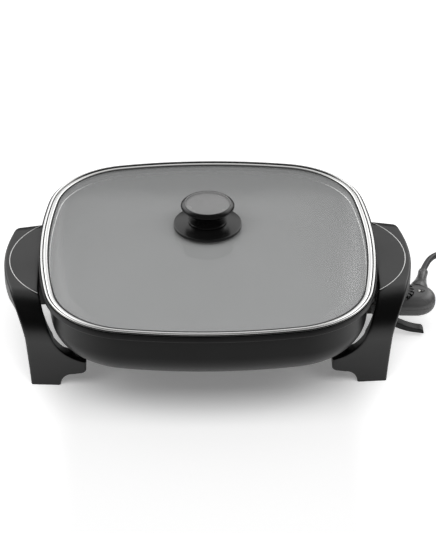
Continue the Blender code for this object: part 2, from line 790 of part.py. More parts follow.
def make_lid_rim(lid, look):
    """A steel bead with a flat band inside it that lies over the glass's edge, swept round the lid."""
    bead = []
    for step in range(6):
        angle = math.pi / 4 * (step - 2)
        bead.append((BEAD_RADIUS - BEAD_RADIUS * math.cos(angle), BEAD_RADIUS + BEAD_RADIUS * math.sin(angle)))
    under = BAND_CROWN - RIM_SHEET
    inside = 2 * BEAD_RADIUS
    band = [
        (inside + GAP, BAND_CROWN - BAND_FALL),
        ((inside + RIM_WIDE) / 2, BAND_CROWN),
        (RIM_WIDE - BAND_FALL, BAND_CROWN - BAND_FALL),
        (RIM_WIDE, BAND_CROWN - 2 * BAND_FALL),
        (RIM_WIDE - BAND_FALL, under),
        (inside, under),
        (inside - 2 * BAND_FALL, under - RIM_SHEET),
    ]
    profile = bead + band
    rings = [square_ring(inset, z) for inset, z in profile]
    finish(loft("lid_rim", rings, closed=True), look, lid)


def dome_top():
    """Height of the glass's upper face at the middle, above the lid's seat."""
    return GLASS_LIFT + GLASS_THICK + DOME_RISE


def make_glass(lid, look):
    """A thin edge under the rim's band, a margin and a low dome, with a hole for the knob's screw."""
    scale_shares = (1.0, 0.93, 0.80, 0.60, 0.38, 0.14)
    edge = 2 * BEAD_RADIUS + GAP
    tongue = BAND_CROWN - RIM_SHEET - GAP
    lower = [square_ring(edge, GAP)]
    upper = [
        square_ring(edge, tongue),
        square_ring(RIM_WIDE + GAP, tongue),
        square_ring(RIM_WIDE + 2 * GAP, BAND_CROWN + GAP),
    ]
    for share in scale_shares:
        rise = DOME_RISE * (1 - share**2) ** 0.85
        lower.append(square_ring(GLASS_MARGIN, GLASS_LIFT + rise, share))
        upper.append(square_ring(GLASS_MARGIN, GLASS_LIFT + GLASS_THICK + rise, share))
    rings = lower[::-1] + upper
    glass = finish(loft("lid_glass", rings), look, lid)
    hole = posts("cut_glass_hole", [(0, 0)], KNOB_SCREW_RADIUS + 2 * GAP, 0, dome_top() + OVERRUN, 16)
    combine(glass, finish(hole, None, lid), "DIFFERENCE", "Screw hole")


def skirt_foot():
    """Height of the skirt's underside where it stands on the gasket."""
    return dome_top() + GASKET_THICK + 2 * GAP


def make_knob(lid, looks):
    skirt_shares = (
        (0.56, 1.0), (0.585, 0.94), (0.66, 0.78), (0.80, 0.55), (0.93, 0.40), (0.985, 0.34), (1.0, 0.25), (1.0, 0.04),
        (0.98, 0.0), (0.93, 0.0), (0.62, 0.40), (0.35, 0.46), (0.35, 0.03),
    )
    skirt = [(SKIRT_RADIUS * r, skirt_foot() + SKIRT_HEIGHT * z) for r, z in skirt_shares]
    bore = KNOB_BORE
    skirt = [(bore, skirt[0][1])] + skirt + [(bore, skirt[-1][1])]
    finish(turned("knob_skirt", skirt, 30, closed=True), looks["knob"], lid)

    grip_shares = (
        (0.0, 0.955), (0.40, 0.95), (0.80, 0.93), (0.855, 0.95), (0.88, 1.0), (0.92, 1.0), (0.98, 0.93), (1.0, 0.84),
        (0.97, 0.74), (0.84, 0.62), (0.72, 0.46), (0.675, 0.30), (0.67, 0.16), (0.71, 0.10), (0.71, 0.0),
    )
    base = skirt_foot() + SKIRT_HEIGHT + GAP
    hole_top = base + KNOB_SCREW_DEPTH + GAP
    grip = [(GRIP_RADIUS * r, base + GRIP_HEIGHT * z) for r, z in grip_shares]
    grip += [(bore, base), (bore, hole_top), (0, hole_top)]
    finish(turned("knob_grip", grip, 30), looks["knob"], lid)

    gasket = sleeve_profile(GASKET_RADIUS, bore, GASKET_THICK)
    finish(turned("knob_gasket", gasket, 16, closed=True), looks["rubber"], lid, (0, 0, dome_top() + GAP))
    under = dome_top() - GLASS_THICK - GAP - WASHER_THICK
    washer = sleeve_profile(WASHER_RADIUS, bore, WASHER_THICK)
    finish(turned("knob_washer", washer, 16, closed=True), looks["steel"], lid, (0, 0, under))
    seat = under - GAP
    length = base + KNOB_SCREW_DEPTH - seat
    profile = screw_profile(KNOB_HEAD_RADIUS, KNOB_HEAD_HEIGHT, KNOB_SCREW_RADIUS, length)
    finish(turned("knob_screw", profile, 16), looks["steel"], lid, (0, 0, seat))


def control_ring(inset, z):
    """The control's plan outline, drawn in by inset: a straight front and sides, and a round end."""
    end_x = CONTROL_LENGTH - CONTROL_END_RADIUS
    ring = circle(CONTROL_END_RADIUS - inset, 14, (end_x, 0), -math.pi / 2, math.pi, end=True)
    middle = CONTROL_LENGTH / 3
    half = (CONTROL_FRONT_HALF + CONTROL_END_RADIUS) / 2
    ring += [(middle, half - inset), (inset, CONTROL_FRONT_HALF - inset)]
    ring += [(inset, 0), (inset, inset - CONTROL_FRONT_HALF), (middle, inset - half)]
    return [(x, y, z) for x, y in ring]


def housing_rings(height, roof, up):
    """Rings of half a housing, from its crown down its outside, over its edge and up its inside."""
    outer_shares = ((0.58, 1.0), (0.36, 0.93), (0.17, 0.76), (0.05, 0.50), (0.0, 0.22))
    inner_shares = ((0.0, 0.25), (0.12, 0.75), (0.45, 1.0))
    start = up * GAP / 2
    rings = []
    for inset, rise in outer_shares:
        rings.append(control_ring(inset * CONTROL_END_RADIUS, start + up * rise * (height - GAP / 2)))
    rings.append(control_ring(0, start))
    rings.append(control_ring(HOUSING_WALL, start))
    room = height - roof
    for inset, rise in inner_shares:
        rings.append(control_ring(HOUSING_WALL + inset * CONTROL_END_RADIUS, start + up * rise * room))
    return rings


def nose_cut(name, control):
    low = (-OVERRUN, -NOSE_HALF - GAP, -NOSE_HEIGHT / 2 - GAP)
    high = (NOSE_TAIL + OVERRUN, NOSE_HALF + GAP, NOSE_HEIGHT / 2 + GAP)
    return finish(boxes(name, [(low, high)]), None, control)


def relief_cut(name, control):
    """The stepped hole for the strain relief's flange and neck, on the relief's axis."""
    flange, neck = RELIEF_FLANGE_RADIUS + GAP, RELIEF_NECK_RADIUS + GAP
    shoulder, top, foot = RELIEF_SEAT + GAP, RELIEF_END / 2, RELIEF_START - OVERRUN
    profile = [(0, top), (neck, top), (neck, shoulder), (flange, shoulder), (flange, foot), (0, foot)]
    cut = turned(name, profile, 20)
    return finish(cut, None, control, (relief_origin_x(), 0, 0), relief_rotation())


def relief_origin_x():
    return CONTROL_LENGTH - CONTROL_END_RADIUS


def relief_rotation():
    """Turns the local Z axis onto the strain relief's axis."""
    return (-math.pi / 2, 0, -RELIEF_TURN)


def make_housing(control, look):
    top = finish(loft("control_top", housing_rings(CONTROL_TOP, DIAL_SEAT, 1)), look, control)
    bottom = finish(loft("control_bottom", housing_rings(CONTROL_BOTTOM, HOUSING_WALL, -1)), look, control)
    for half, name in ((top, "top"), (bottom, "bottom")):
        combine(half, nose_cut("cut_nose_" + name, control), "DIFFERENCE", "Nose opening")
        combine(half, relief_cut("cut_relief_" + name, control), "DIFFERENCE", "Strain relief hole")

    dial = [(DIAL_PLACE, 0)]
    recess = posts("cut_dial_recess", dial, DIAL_RADIUS + 2 * GAP, dial_floor(), CONTROL_TOP + OVERRUN, 36)
    combine(top, finish(recess, None, control), "DIFFERENCE", "Dial recess")
    hole = posts("cut_spindle_hole", dial, SPINDLE_RADIUS + GAP, 0, CONTROL_TOP, 16)
    combine(top, finish(hole, None, control), "DIFFERENCE", "Spindle hole")
    window_shape = (LENS_LONG / LENS_SHORT, 1)
    window = posts(
        "cut_lens", [(LENS_PLACE, 0)], LENS_SHORT + GAP, 0, CONTROL_TOP + OVERRUN, 20, window_shape
    )
    combine(top, finish(window, None, control), "DIFFERENCE", "Lens window")

    posts_low = -CONTROL_BOTTOM + HOUSING_WALL / 2
    column = posts("join_posts", screw_places(), HOUSING_POST_RADIUS, posts_low, -HOUSING_POST_LEVEL, 16)
    combine(bottom, finish(column, None, control), "UNION", "Screw posts")
    socket_root = CONTROL_TOP - DIAL_SEAT * 4 / 5
    hanging = posts(
        "join_sockets", screw_places(), HOUSING_POST_RADIUS, GAP - HOUSING_POST_LEVEL, socket_root, 16
    )
    combine(top, finish(hanging, None, control), "UNION", "Screw sockets")
    seat = screw_level()
    sink = posts("cut_sinks", screw_places(), HOUSING_SCREW_HEAD + GAP, -CONTROL_BOTTOM - OVERRUN, seat, 16)
    radius = HOUSING_SCREW_RADIUS + GAP
    bores = posts("cut_bores_bottom", screw_places(), radius, seat - OVERRUN, 0, 12)
    top_bores = posts("cut_bores_top", screw_places(), radius, -HOUSING_POST_LEVEL - OVERRUN, GAP, 12)
    combine(bottom, finish(sink, None, control), "DIFFERENCE", "Screw sinks")
    combine(bottom, finish(bores, None, control), "DIFFERENCE", "Screw bores")
    combine(top, finish(top_bores, None, control), "DIFFERENCE", "Screw bores")

    pivot = (PIVOT_PLACE, -PIVOT_DROP)
    spans = []
    for low_y in (-LUG_INNER - LUG_THICK, LUG_INNER):
        low = (pivot[0] - LUG_HALF, low_y, pivot[1] - LUG_HALF)
        spans.append((low, (pivot[0] + LUG_HALF, low_y + LUG_THICK, -CONTROL_BOTTOM + HOUSING_WALL * 3 / 4)))
    combine(bottom, finish(boxes("join_lugs", spans), None, control), "UNION", "Trigger lugs")
    reach = LUG_INNER + LUG_THICK + OVERRUN
    pin_hole = posts("cut_pin_hole", [(0, 0)], TRIGGER_PIN_RADIUS + GAP, -reach, reach, 12)
    finish(pin_hole, None, control, (pivot[0], 0, pivot[1]), (math.pi / 2, 0, 0))
    combine(bottom, pin_hole, "DIFFERENCE", "Pin hole")
    slot_half = TRIGGER_HALF + 2 * GAP
    slot_low = (-OVERRUN, -slot_half, -CONTROL_BOTTOM - OVERRUN)
    slot_high = (PIVOT_PLACE + HUB_RADIUS + 2 * GAP, slot_half, -NOSE_HEIGHT / 2 - GAP)
    slot = finish(boxes("cut_finger_slot", [(slot_low, slot_high)]), None, control)
    combine(bottom, slot, "DIFFERENCE", "Finger slot")


def dial_floor():
    return CONTROL_TOP - DIAL_RECESS


def screw_places():
    return [(HOUSING_SCREW_PLACE, -HOUSING_SCREW_SPREAD), (HOUSING_SCREW_PLACE, HOUSING_SCREW_SPREAD)]


def screw_level():
    """Height of the shoulder in the lower housing that a housing screw's head pulls against."""
    return -HOUSING_POST_LEVEL - HOUSING_WALL


def make_housing_screws(control, look):
    height = HOUSING_SCREW_RADIUS
    length = HOUSING_WALL + HOUSING_POST_LEVEL + GAP
    for name, (x, y) in zip(("control_screw_front", "control_screw_back"), screw_places()):
        profile = screw_profile(HOUSING_SCREW_HEAD, height, HOUSING_SCREW_RADIUS, length)
        finish(turned(name, profile, 10), look, control, (x, y, screw_level() - GAP))


def make_contact_block(control, looks):
    """The block in the control's nose, with the two receptacles and the probe rod that it holds."""
    half_height = NOSE_HEIGHT / 2
    span = ((-NOSE_REACH, -NOSE_HALF, -half_height), (NOSE_TAIL, NOSE_HALF, half_height))
    block = finish(boxes("contact_block", [span]), looks["phenolic"], control)
    along_x = (0, math.pi / 2, 0)
    depth = NOSE_REACH + NOSE_TAIL
    for name, y in (("front", -PIN_SPACING / 2), ("back", PIN_SPACING / 2)):
        hole = posts("cut_receptacle_" + name, [(0, 0)], RECEPTACLE_RADIUS + GAP, -OVERRUN, depth + OVERRUN, 16)
        finish(hole, None, control, (-NOSE_REACH, y, 0), along_x)
        combine(block, hole, "DIFFERENCE", "Receptacle hole")
        length = depth - 2 * RECEPTACLE_INSET
        profile = sleeve_profile(RECEPTACLE_RADIUS, PIN_RADIUS + GAP, length)
        receptacle = turned("receptacle_" + name, profile, 12, closed=True)
        finish(receptacle, looks["brass"], control, (RECEPTACLE_INSET - NOSE_REACH, y, 0), along_x)
    hole = posts("cut_probe_hole", [(0, 0)], PROBE_RADIUS + GAP, -OVERRUN, depth + OVERRUN, 16)
    finish(hole, None, control, (-NOSE_REACH, 0, 0), along_x)
    combine(block, hole, "DIFFERENCE", "Probe hole")
    rod = posts("probe_rod", [(0, 0)], PROBE_RADIUS, 0, PROBE_REACH + NOSE_TAIL, 16)
    finish(rod, looks["steel"], control, (-PROBE_REACH, 0, 0), along_x)


def make_thermostat(control, looks):
    floor = -CONTROL_BOTTOM + HOUSING_WALL + GAP
    low = (NOSE_TAIL + THERMOSTAT_GAP, -THERMOSTAT_HALF, floor)
    high = (low[0] + THERMOSTAT_LENGTH, THERMOSTAT_HALF, thermostat_top())
    finish(boxes("thermostat", [(low, high)]), looks["phenolic"], control)
    lens_top = CONTROL_TOP + LENS_PROUD
    shape = (LENS_LONG / LENS_SHORT, 1)
    lens = posts("indicator_lens", [(LENS_PLACE, 0)], LENS_SHORT, lens_top - LENS_DEPTH, lens_top, 20, shape)
    finish(lens, looks["lens"], control)
    lamp_top = lens_top - LENS_DEPTH - GAP
    lamp = posts("indicator_lamp", [(LENS_PLACE, 0)], LAMP_RADIUS, lamp_top - LAMP_LENGTH, lamp_top, 12)
    finish(lamp, looks["lamp"], control)


def thermostat_top():
    return -GAP


def make_dial(dial, looks):
    """The dial and its spindle, about the dial's own axis, standing in the recess."""
    top, edge = GAP + DIAL_THICK, NOTCH_RADIUS / 2
    profile = [(0, top), (DIAL_RADIUS - 2 * edge, top), (DIAL_RADIUS - edge / 2, top - edge / 2)]
    profile += [(DIAL_RADIUS, top - 3 * edge / 2), (DIAL_RADIUS, GAP), (0, GAP)]
    body = finish(turned("dial", profile, 36), looks["knob"], dial)
    places = circle(DIAL_RADIUS, NOTCH_COUNT)
    low = GAP + DIAL_THICK - DIAL_RECESS
    notches = posts("cut_notches", places, NOTCH_RADIUS, low, DIAL_THICK + OVERRUN, 8)
    combine(body, finish(notches, None, dial), "DIFFERENCE", "Grip notches")
    spindle_low = thermostat_top() + GAP - dial_floor()
    spindle = posts("dial_spindle", [(0, 0)], SPINDLE_RADIUS, spindle_low, 0, 16)
    finish(spindle, looks["steel"], dial)


def trigger_outline():
    """The trigger's side view about its pivot: hub, arm out to the finger pad, and the release finger."""
    arm_top_shares = ((0.22, 0.12), (0.40, 0.36), (0.64, 0.60), (0.82, 0.72), (0.94, 0.76), (0.985, 0.84))
    arm_low_shares = ((1.0, 1.0), (0.88, 0.965), (0.64, 0.87), (0.36, 0.64), (0.12, 0.32))
    finger_shares = ((-0.45, 0.12), (-0.95, 0.62), (-1.0, 0.98), (-0.80, 1.0), (-0.30, 0.50))
    points = [(TRIGGER_REACH * x, -TRIGGER_DROP * z) for x, z in arm_top_shares + arm_low_shares]
    points += circle(HUB_RADIUS, 3, (0, 0), -math.pi / 2, -math.pi / 3, end=True)
    points += [(FINGER_REACH * x, FINGER_RISE * z) for x, z in finger_shares]
    points += circle(HUB_RADIUS, 3, (0, 0), math.pi / 2, -math.pi / 3, end=True)
    return points


def make_trigger(trigger, control, looks):
    hole = circle(TRIGGER_PIN_RADIUS + GAP, 12)
    body = plate("release_trigger", (trigger_outline(), hole), TRIGGER_HALF)
    finish(body, looks["plastic"], trigger, (0, 0, 0), (math.pi / 2, 0, 0))
    pivot = (PIVOT_PLACE, 0, -PIVOT_DROP)
    reach = LUG_INNER + LUG_THICK
    pin = posts("trigger_pin", [(0, 0)], TRIGGER_PIN_RADIUS, -reach, reach, 12)
    finish(pin, looks["steel"], control, pivot, (math.pi / 2, 0, 0))
    points = []
    steps = 12 * SPRING_TURNS
    for step in range(steps + 1):
        angle = 2 * math.pi * step / 12
        y = TRIGGER_HALF + 2 * GAP + SPRING_WIRE + SPRING_PITCH * step / 12
        points.append((SPRING_RADIUS * math.cos(angle), y, SPRING_RADIUS * math.sin(angle)))
    print(f"least gap of the spring to itself: {1000 * (SPRING_PITCH - 2 * SPRING_WIRE):.2f} mm")
    finish(tube("trigger_spring", points, SPRING_WIRE, 1), looks["steel"], control, pivot)


def make_relief(control, look):
    """A tapered strain relief: a cone that sits on the housing, and a neck with a flange inside it."""
    cone_shares = ((0.0, 1.0), (0.20, 0.86), (0.42, 0.46), (0.68, 0.16), (1.0, 0.0))
    cone = [(0, RELIEF_END)]
    for along, share in reversed(cone_shares):
        radius = RELIEF_TIP_RADIUS + (RELIEF_ROOT_RADIUS - RELIEF_TIP_RADIUS) * share
        cone.append((radius, RELIEF_ROOT + (RELIEF_END - RELIEF_ROOT) * along))
    cone.append((0, RELIEF_ROOT))
    place, rotation = (relief_origin_x(), 0, 0), relief_rotation()
    relief = finish(turned("strain_relief", cone, 20), look, control, place, rotation)
    reach = CONTROL_TOP + OVERRUN
    saddle = loft("cut_saddle", [control_ring(-GAP, -reach), control_ring(-GAP, reach)])
    combine(relief, finish(saddle, None, control), "DIFFERENCE", "Saddle")
    top = (RELIEF_ROOT + RELIEF_END) / 2
    profile = [(0, top), (RELIEF_NECK_RADIUS, top), (RELIEF_NECK_RADIUS, RELIEF_SEAT)]
    profile += [(RELIEF_FLANGE_RADIUS, RELIEF_SEAT), (RELIEF_FLANGE_RADIUS, RELIEF_START), (0, RELIEF_START)]
    neck = finish(turned("join_neck", profile, 20), None, control, place, rotation)
    combine(relief, neck, "UNION", "Neck and flange")


def spline_points(knots, step):
    """Points about a step apart on the smooth curve through the knots."""
    knots = [Vector(knot) for knot in knots]
    padded = [2 * knots[0] - knots[1]] + knots + [2 * knots[-1] - knots[-2]]
    points = []
    for first, start, end, last in zip(padded, padded[1:], padded[2:], padded[3:]):
        count = max(1, round((end - start).length / step))
        for here in range(count):
            t = here / count
            bend = (2 * first - 5 * start + 4 * end - last) * t**2
            turn = (3 * start - first - 3 * end + last) * t**3
            points.append((2 * start + (end - first) * t + bend + turn) / 2)
    points.append(knots[-1])
    return points


def coil_radius(turns):
    """Distance from the coil's middle: in at a steady rate, then out again at the same rate."""
    return COIL_OUTER - WINDING_PITCH * (COIL_TURNS_IN - abs(COIL_TURNS_IN - turns))


def coil_points():
    """Two layers of winding, clockwise from the entry, and the tail that leaves for the plug."""
    points = []
    total = COIL_TURNS_IN + COIL_TURNS_OUT
    steps = round(total * LOOP_POINTS)
    for step in range(steps + 1):
        turns = total * step / steps
        angle = COIL_ENTRY - 2 * math.pi * turns
        climb = min(max((turns - COIL_TURNS_IN) * 2 + 1 / 2, 0.0), 1.0)
        ease = climb * climb * (3 - 2 * climb)
        radius = coil_radius(turns)
        x = COIL_X + radius * math.cos(angle)
        y = COIL_Y + radius * math.sin(angle)
        points.append(Vector((x, y, COIL_FLOOR + WINDING_PITCH * ease)))
    heading = (points[-1] - points[-2]).normalized()
    plug_end = points[-1] + heading * COIL_TAIL
    plug_end.z = PLUG_THICK / 2
    level = Vector((heading.x, heading.y, 0)).normalized()
    last_run = plug_end - level * CORD_DIAMETER
    for share in (0.25, 0.5, 0.75):
        ease = share * share * (3 - 2 * share)
        bridge = points[steps] + level * ((last_run - points[steps]).length * share)
        bridge.z = points[steps].z + (last_run.z - points[steps].z) * ease
        points.append(bridge)
    points += [last_run, plug_end]
    entry = points[0] - (points[1] - points[0]).normalized() * CORD_DIAMETER
    return [entry] + points


def least_self_gap(points, diameter):
    """The least face-to-face gap between stretches of a tube that are more than two diameters apart along it."""
    along = [0.0]
    for here, after in zip(points, points[1:]):
        along.append(along[-1] + (after - here).length)
    least = math.inf
    for first, start in enumerate(points):
        for second in range(first + 1, len(points)):
            if along[second] - along[first] > 3 * diameter:
                least = min(least, (points[second] - start).length - diameter)
    return least


def make_cord(root, looks):
    """The free cord, the wound coil, its tie and the plug, all on the floor to the right of the control."""
    start = Vector((CONTROL_FRONT + relief_origin_x(), 0, PIN_LEVEL)) + RELIEF_AXIS * (RELIEF_END + GAP)
    coil = coil_points()
    entry = (coil[1] - coil[0]).normalized()
    end = coil[0] - entry * GAP
    route = [start, start + RELIEF_AXIS * CORD_DIAMETER]
    route += [Vector((CONTROL_END + x, y, z)) for x, y, z in CORD_ROUTE]
    route += [end - entry * CORD_DIAMETER, end]
    run = spline_points(route, CORD_STEP)
    finish(tube("cord_run", run, CORD_DIAMETER / 2, 2), looks["cord"], root)
    finish(tube("cord_coil", coil, CORD_DIAMETER / 2, 1), looks["cord"], root)
    gap = least_self_gap(coil, CORD_DIAMETER)
    print(f"least gap of the coil to itself: {1000 * gap:.2f} mm")
    lengths = [sum((b - a).length for a, b in zip(path, path[1:])) for path in (run, coil)]
    print(f"cord: free {lengths[0]:.3f} m, coil and tail {lengths[1]:.3f} m, total {sum(lengths):.3f} m")
    make_tie(root, looks["rubber"])
    make_plug(root, looks, coil)


def make_tie(root, look):
    """A flat band round the winding, across the coil's section."""
    half = CORD_DIAMETER / 2 + GAP
    inner = coil_radius(COIL_TURNS_IN) - half
    outer = COIL_OUTER + half
    low, high = TIE_THICK, COIL_FLOOR + WINDING_PITCH + half
    outlines = []
    for grow in (TIE_THICK, 0):
        corners = ((outer, high, 0), (inner, high, 1), (inner, low, 2), (outer, low, 3))
        outline = []
        for x, z, turn in corners:
            centre = (x - half * (1 if x == outer else -1), z - half * (1 if z == high else -1))
            outline += circle(half + grow, 3, centre, turn * math.pi / 2, math.pi / 2, end=True)
        outlines.append(outline)
    tie = plate("cord_tie", outlines, TIE_HALF_WIDTH)
    angle = COIL_ENTRY - 2 * math.pi * TIE_TURN
    finish(tie, look, root, (COIL_X, COIL_Y, 0), (math.pi / 2, 0, angle))


def make_plug(root, looks, coil):
    """A two-blade plug lying flat at the end of the coil's tail."""
    heading = coil[-1] - coil[-2]
    angle = math.atan2(heading.y, heading.x)
    plug = frame("plug_place", root, (coil[-1].x, coil[-1].y, PLUG_THICK / 2))
    plug.rotation_euler = (0, 0, angle)
    front = GAP + PLUG_NECK + PLUG_LENGTH
    low = (GAP + PLUG_NECK, -PLUG_WIDTH / 2, -PLUG_THICK / 2)
    body = finish(boxes("plug_body", [(low, (front, PLUG_WIDTH / 2, PLUG_THICK / 2))], PLUG_ROUND), looks["cord"], plug)
    neck_root = PLUG_THICK / 2 - PLUG_ROUND / 2
    profile = [(0, PLUG_NECK + PLUG_ROUND), (neck_root, PLUG_NECK + PLUG_ROUND), (neck_root, PLUG_NECK)]
    profile += [(CORD_DIAMETER * 2 / 3, 0), (0, 0)]
    neck = finish(turned("join_plug_neck", profile, 16), None, plug, (GAP, 0, 0), (0, math.pi / 2, 0))
    combine(body, neck, "UNION", "Neck")
    for name, side in (("plug_blade_left", 1), ("plug_blade_right", -1)):
        y = side * BLADE_SPACING / 2
        low = (front + GAP, y - BLADE_THICK / 2, -BLADE_WIDTH / 2)
        high = (front + GAP + BLADE_LENGTH, y + BLADE_THICK / 2, BLADE_WIDTH / 2)
        finish(boxes(name, [(low, high)]), looks["brass"], plug)


def make_looks():
    return {
        "pan": material("pan_coating", (0.035, 0.035, 0.037), 0.42),
        "handle": material("handle_phenolic", (0.022, 0.022, 0.023), 0.40),
        "steel": material("steel", (0.62, 0.62, 0.61), 0.22, 1.0),
        "glass": material("lid_glass", (0.86, 0.90, 0.89), 0.05, 0.0, 0.30),
        "knob": material("knob_black", (0.016, 0.016, 0.017), 0.35),
        "plastic": material("control_black", (0.020, 0.020, 0.021), 0.38),
        "phenolic": material("contact_phenolic", (0.030, 0.026, 0.024), 0.55),
        "brass": material("brass", (0.72, 0.55, 0.28), 0.30, 1.0),
        "rubber": material("black_rubber", (0.018, 0.018, 0.018), 0.65),
        "cord": material("cord_black", (0.018, 0.018, 0.019), 0.50),
        "lens": material("indicator_lens", (0.75, 0.74, 0.72), 0.15),
        "lamp": material("indicator_lamp", (0.70, 0.32, 0.16), 0.20),
        "element": material("element_sheath", (0.20, 0.20, 0.21), 0.45, 0.9),
    }


def main():
    looks = make_looks()
    root = frame("skillet", None, (CENTRE_SHIFT, 0, 0))
    make_pan(root, looks["pan"])
    make_element(root, looks["element"])
    make_pins(root, looks["steel"])
    make_guard(root, looks["steel"])
    make_guard_screws(root, looks["steel"])
    make_well(root, looks["steel"])
    make_handle("left_handle", -1, root, looks["handle"])
    make_handle("right_handle", 1, root, looks["handle"])
    make_handle_screws(root, looks["steel"])

    lid = frame("lid", root, (0, 0, RIM_HEIGHT))
    make_lid_rim(lid, looks["steel"])
    make_glass(lid, looks["glass"])
    make_knob(lid, looks)

    control = frame("control", root, (CONTROL_FRONT, 0, PIN_LEVEL))
    make_housing(control, looks["plastic"])
    make_housing_screws(control, looks["steel"])
    make_contact_block(control, looks)
    make_thermostat(control, looks)
    make_relief(control, looks["plastic"])
    dial = frame("dial_axis", control, (DIAL_PLACE, 0, dial_floor()))
    make_dial(dial, looks)
    trigger = frame("trigger_axis", control, (PIVOT_PLACE, 0, -PIVOT_DROP))
    make_trigger(trigger, control, looks)
    make_cord(root, looks)


clear_scene()
PARTS = new_collection("Electric skillet")
CUTTERS = new_collection("Cutters")
main()
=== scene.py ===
"""The looks of the square electric skillet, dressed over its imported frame.

Metres, in the frame's own place: +X is the heat control's side, +Y the back, and the floor is z = 0. Each
surface is worked out as whole arrays: rows of points that follow a formula, skinned into one mesh.
"""

import json
import math

import bmesh
import bpy
import numpy as np
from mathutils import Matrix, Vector


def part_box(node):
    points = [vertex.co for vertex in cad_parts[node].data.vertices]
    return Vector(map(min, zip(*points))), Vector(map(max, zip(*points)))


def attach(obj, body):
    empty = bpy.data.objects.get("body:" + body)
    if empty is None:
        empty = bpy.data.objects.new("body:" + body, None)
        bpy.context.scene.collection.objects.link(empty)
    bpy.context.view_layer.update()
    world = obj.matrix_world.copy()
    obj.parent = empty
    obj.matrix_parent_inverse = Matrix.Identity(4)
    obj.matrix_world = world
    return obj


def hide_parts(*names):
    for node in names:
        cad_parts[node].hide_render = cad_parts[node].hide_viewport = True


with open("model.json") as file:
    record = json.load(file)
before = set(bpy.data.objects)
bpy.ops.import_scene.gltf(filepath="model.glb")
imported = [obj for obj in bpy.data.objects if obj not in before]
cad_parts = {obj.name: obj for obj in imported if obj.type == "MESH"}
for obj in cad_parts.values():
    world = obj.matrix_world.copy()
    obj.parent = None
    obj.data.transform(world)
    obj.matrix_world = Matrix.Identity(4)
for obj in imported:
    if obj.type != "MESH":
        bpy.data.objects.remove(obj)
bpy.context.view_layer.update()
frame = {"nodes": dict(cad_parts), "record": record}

GAP = 0.0003
SIDE_ARC = 0.475
CORNER_ARC = 0.080
RIM_LOW, RIM_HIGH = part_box("lid_rim")
PROBE_LOW, PROBE_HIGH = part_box("probe_rod")
MIDDLE = (RIM_LOW.x + RIM_HIGH.x) / 2
LID_HALF = (RIM_HIGH.x - RIM_LOW.x) / 2
RIM_SEAT = RIM_LOW.z
PAN_FOOT = 0.0485
PIN_LEVEL = (PROBE_LOW.z + PROBE_HIGH.z) / 2
CONTROL_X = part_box("control_top")[0].x
CONTROL_LENGTH = 0.061
CORD_WIDE = 0.0058

# Along the heat control from its front, and how the strain relief turns away from +Y
RELIEF_AT, RELIEF_END, RELIEF_TURN = 0.043, 0.0502, math.radians(12.7)
DIAL_AT = 0.0255
WINDOW_AT, WINDOW_STRETCH = 0.0473, 0.003 / 0.0022

# From the middle of the lid to each handle boss
BOSS_X, BOSS_Y = 0.1195, 0.0705
ELEMENT_INSET = 0.055


# Shapes

def placed(name, data):
    """A new object in the scene."""
    obj = bpy.data.objects.new(name, data)
    bpy.context.scene.collection.objects.link(obj)
    return obj


def smooth(share):
    """Rises from 0 to 1 as 3 t^2 - 2 t^3."""
    share = np.clip(share, 0.0, 1.0)
    return share * share * (3 - 2 * share)


def flowing(points, steps, closed=False):
    """A smooth line through the points: on each stretch the cubic whose slope at a point is half the way between
    the points on either side of it."""
    points = np.asarray(points, float)
    if closed:
        around = np.concatenate([points[-1:], points, points[:2]])
    else:
        around = np.concatenate([2 * points[:1] - points[1:2], points, 2 * points[-1:] - points[-2:-1]])
    first, start, end, last = (around[k : len(around) - 3 + k, None] for k in range(4))
    t = (np.arange(steps) / steps)[None, :, None]
    bend = (2 * first - 5 * start + 4 * end - last) * t**2 + (3 * start - first - 3 * end + last) * t**3
    line = ((2 * start + (end - first) * t + bend) / 2).reshape(-1, points.shape[1])
    return line if closed else np.concatenate([line, points[-1:]])


def quadratic(start, turn, foot, share):
    """The curve (1-s)^2 start + 2 s (1-s) turn + s^2 foot."""
    share = np.asarray(share, float)[..., None]
    start, turn, foot = (np.asarray(p, float) for p in (start, turn, foot))
    return (1 - share) ** 2 * start + 2 * share * (1 - share) * turn + share**2 * foot


def quadratic_at(start, turn, foot, height):
    """The same curve's first coordinate where its second one is the given height."""
    a = start[1] - 2 * turn[1] + foot[1]
    b = 2 * (turn[1] - start[1])
    inside = np.maximum(b * b - 4 * a * (start[1] - np.asarray(height, float)), 0)
    share = (-b - np.sqrt(inside)) / (2 * a)
    return quadratic(start, turn, foot, np.clip(share, 0, 1))[..., 0]


def lid_line():
    """Points round the lid and their outward normals: four side arcs and four corner arcs that share tangents."""
    side_centre = LID_HALF - SIDE_ARC
    corner = (side_centre + math.sqrt(2 * (SIDE_ARC - CORNER_ARC) ** 2 - side_centre**2)) / 2
    edge = math.atan2(corner, corner - side_centre)
    along = np.linspace(-edge, edge, 29)[:-1]
    round_it = np.linspace(edge, math.pi / 2 - edge, 23)[:-1]
    angle = np.concatenate([along, round_it])
    on_side = np.arange(len(angle)) < len(along)
    radius = np.where(on_side, SIDE_ARC, CORNER_ARC)
    centre = np.stack([np.where(on_side, side_centre, corner), np.where(on_side, 0.0, corner)], 1)
    normal = np.stack([np.cos(angle), np.sin(angle)], 1)
    point = centre + radius[:, None] * normal
    turn = np.arange(4) * math.pi / 2
    spin = np.stack([np.stack([np.cos(turn), -np.sin(turn)], 1), np.stack([np.sin(turn), np.cos(turn)], 1)], 1)
    return (np.einsum("kij,nj->kni", spin, p).reshape(-1, 2) for p in (point, normal))


LINE, NORMAL = lid_line()


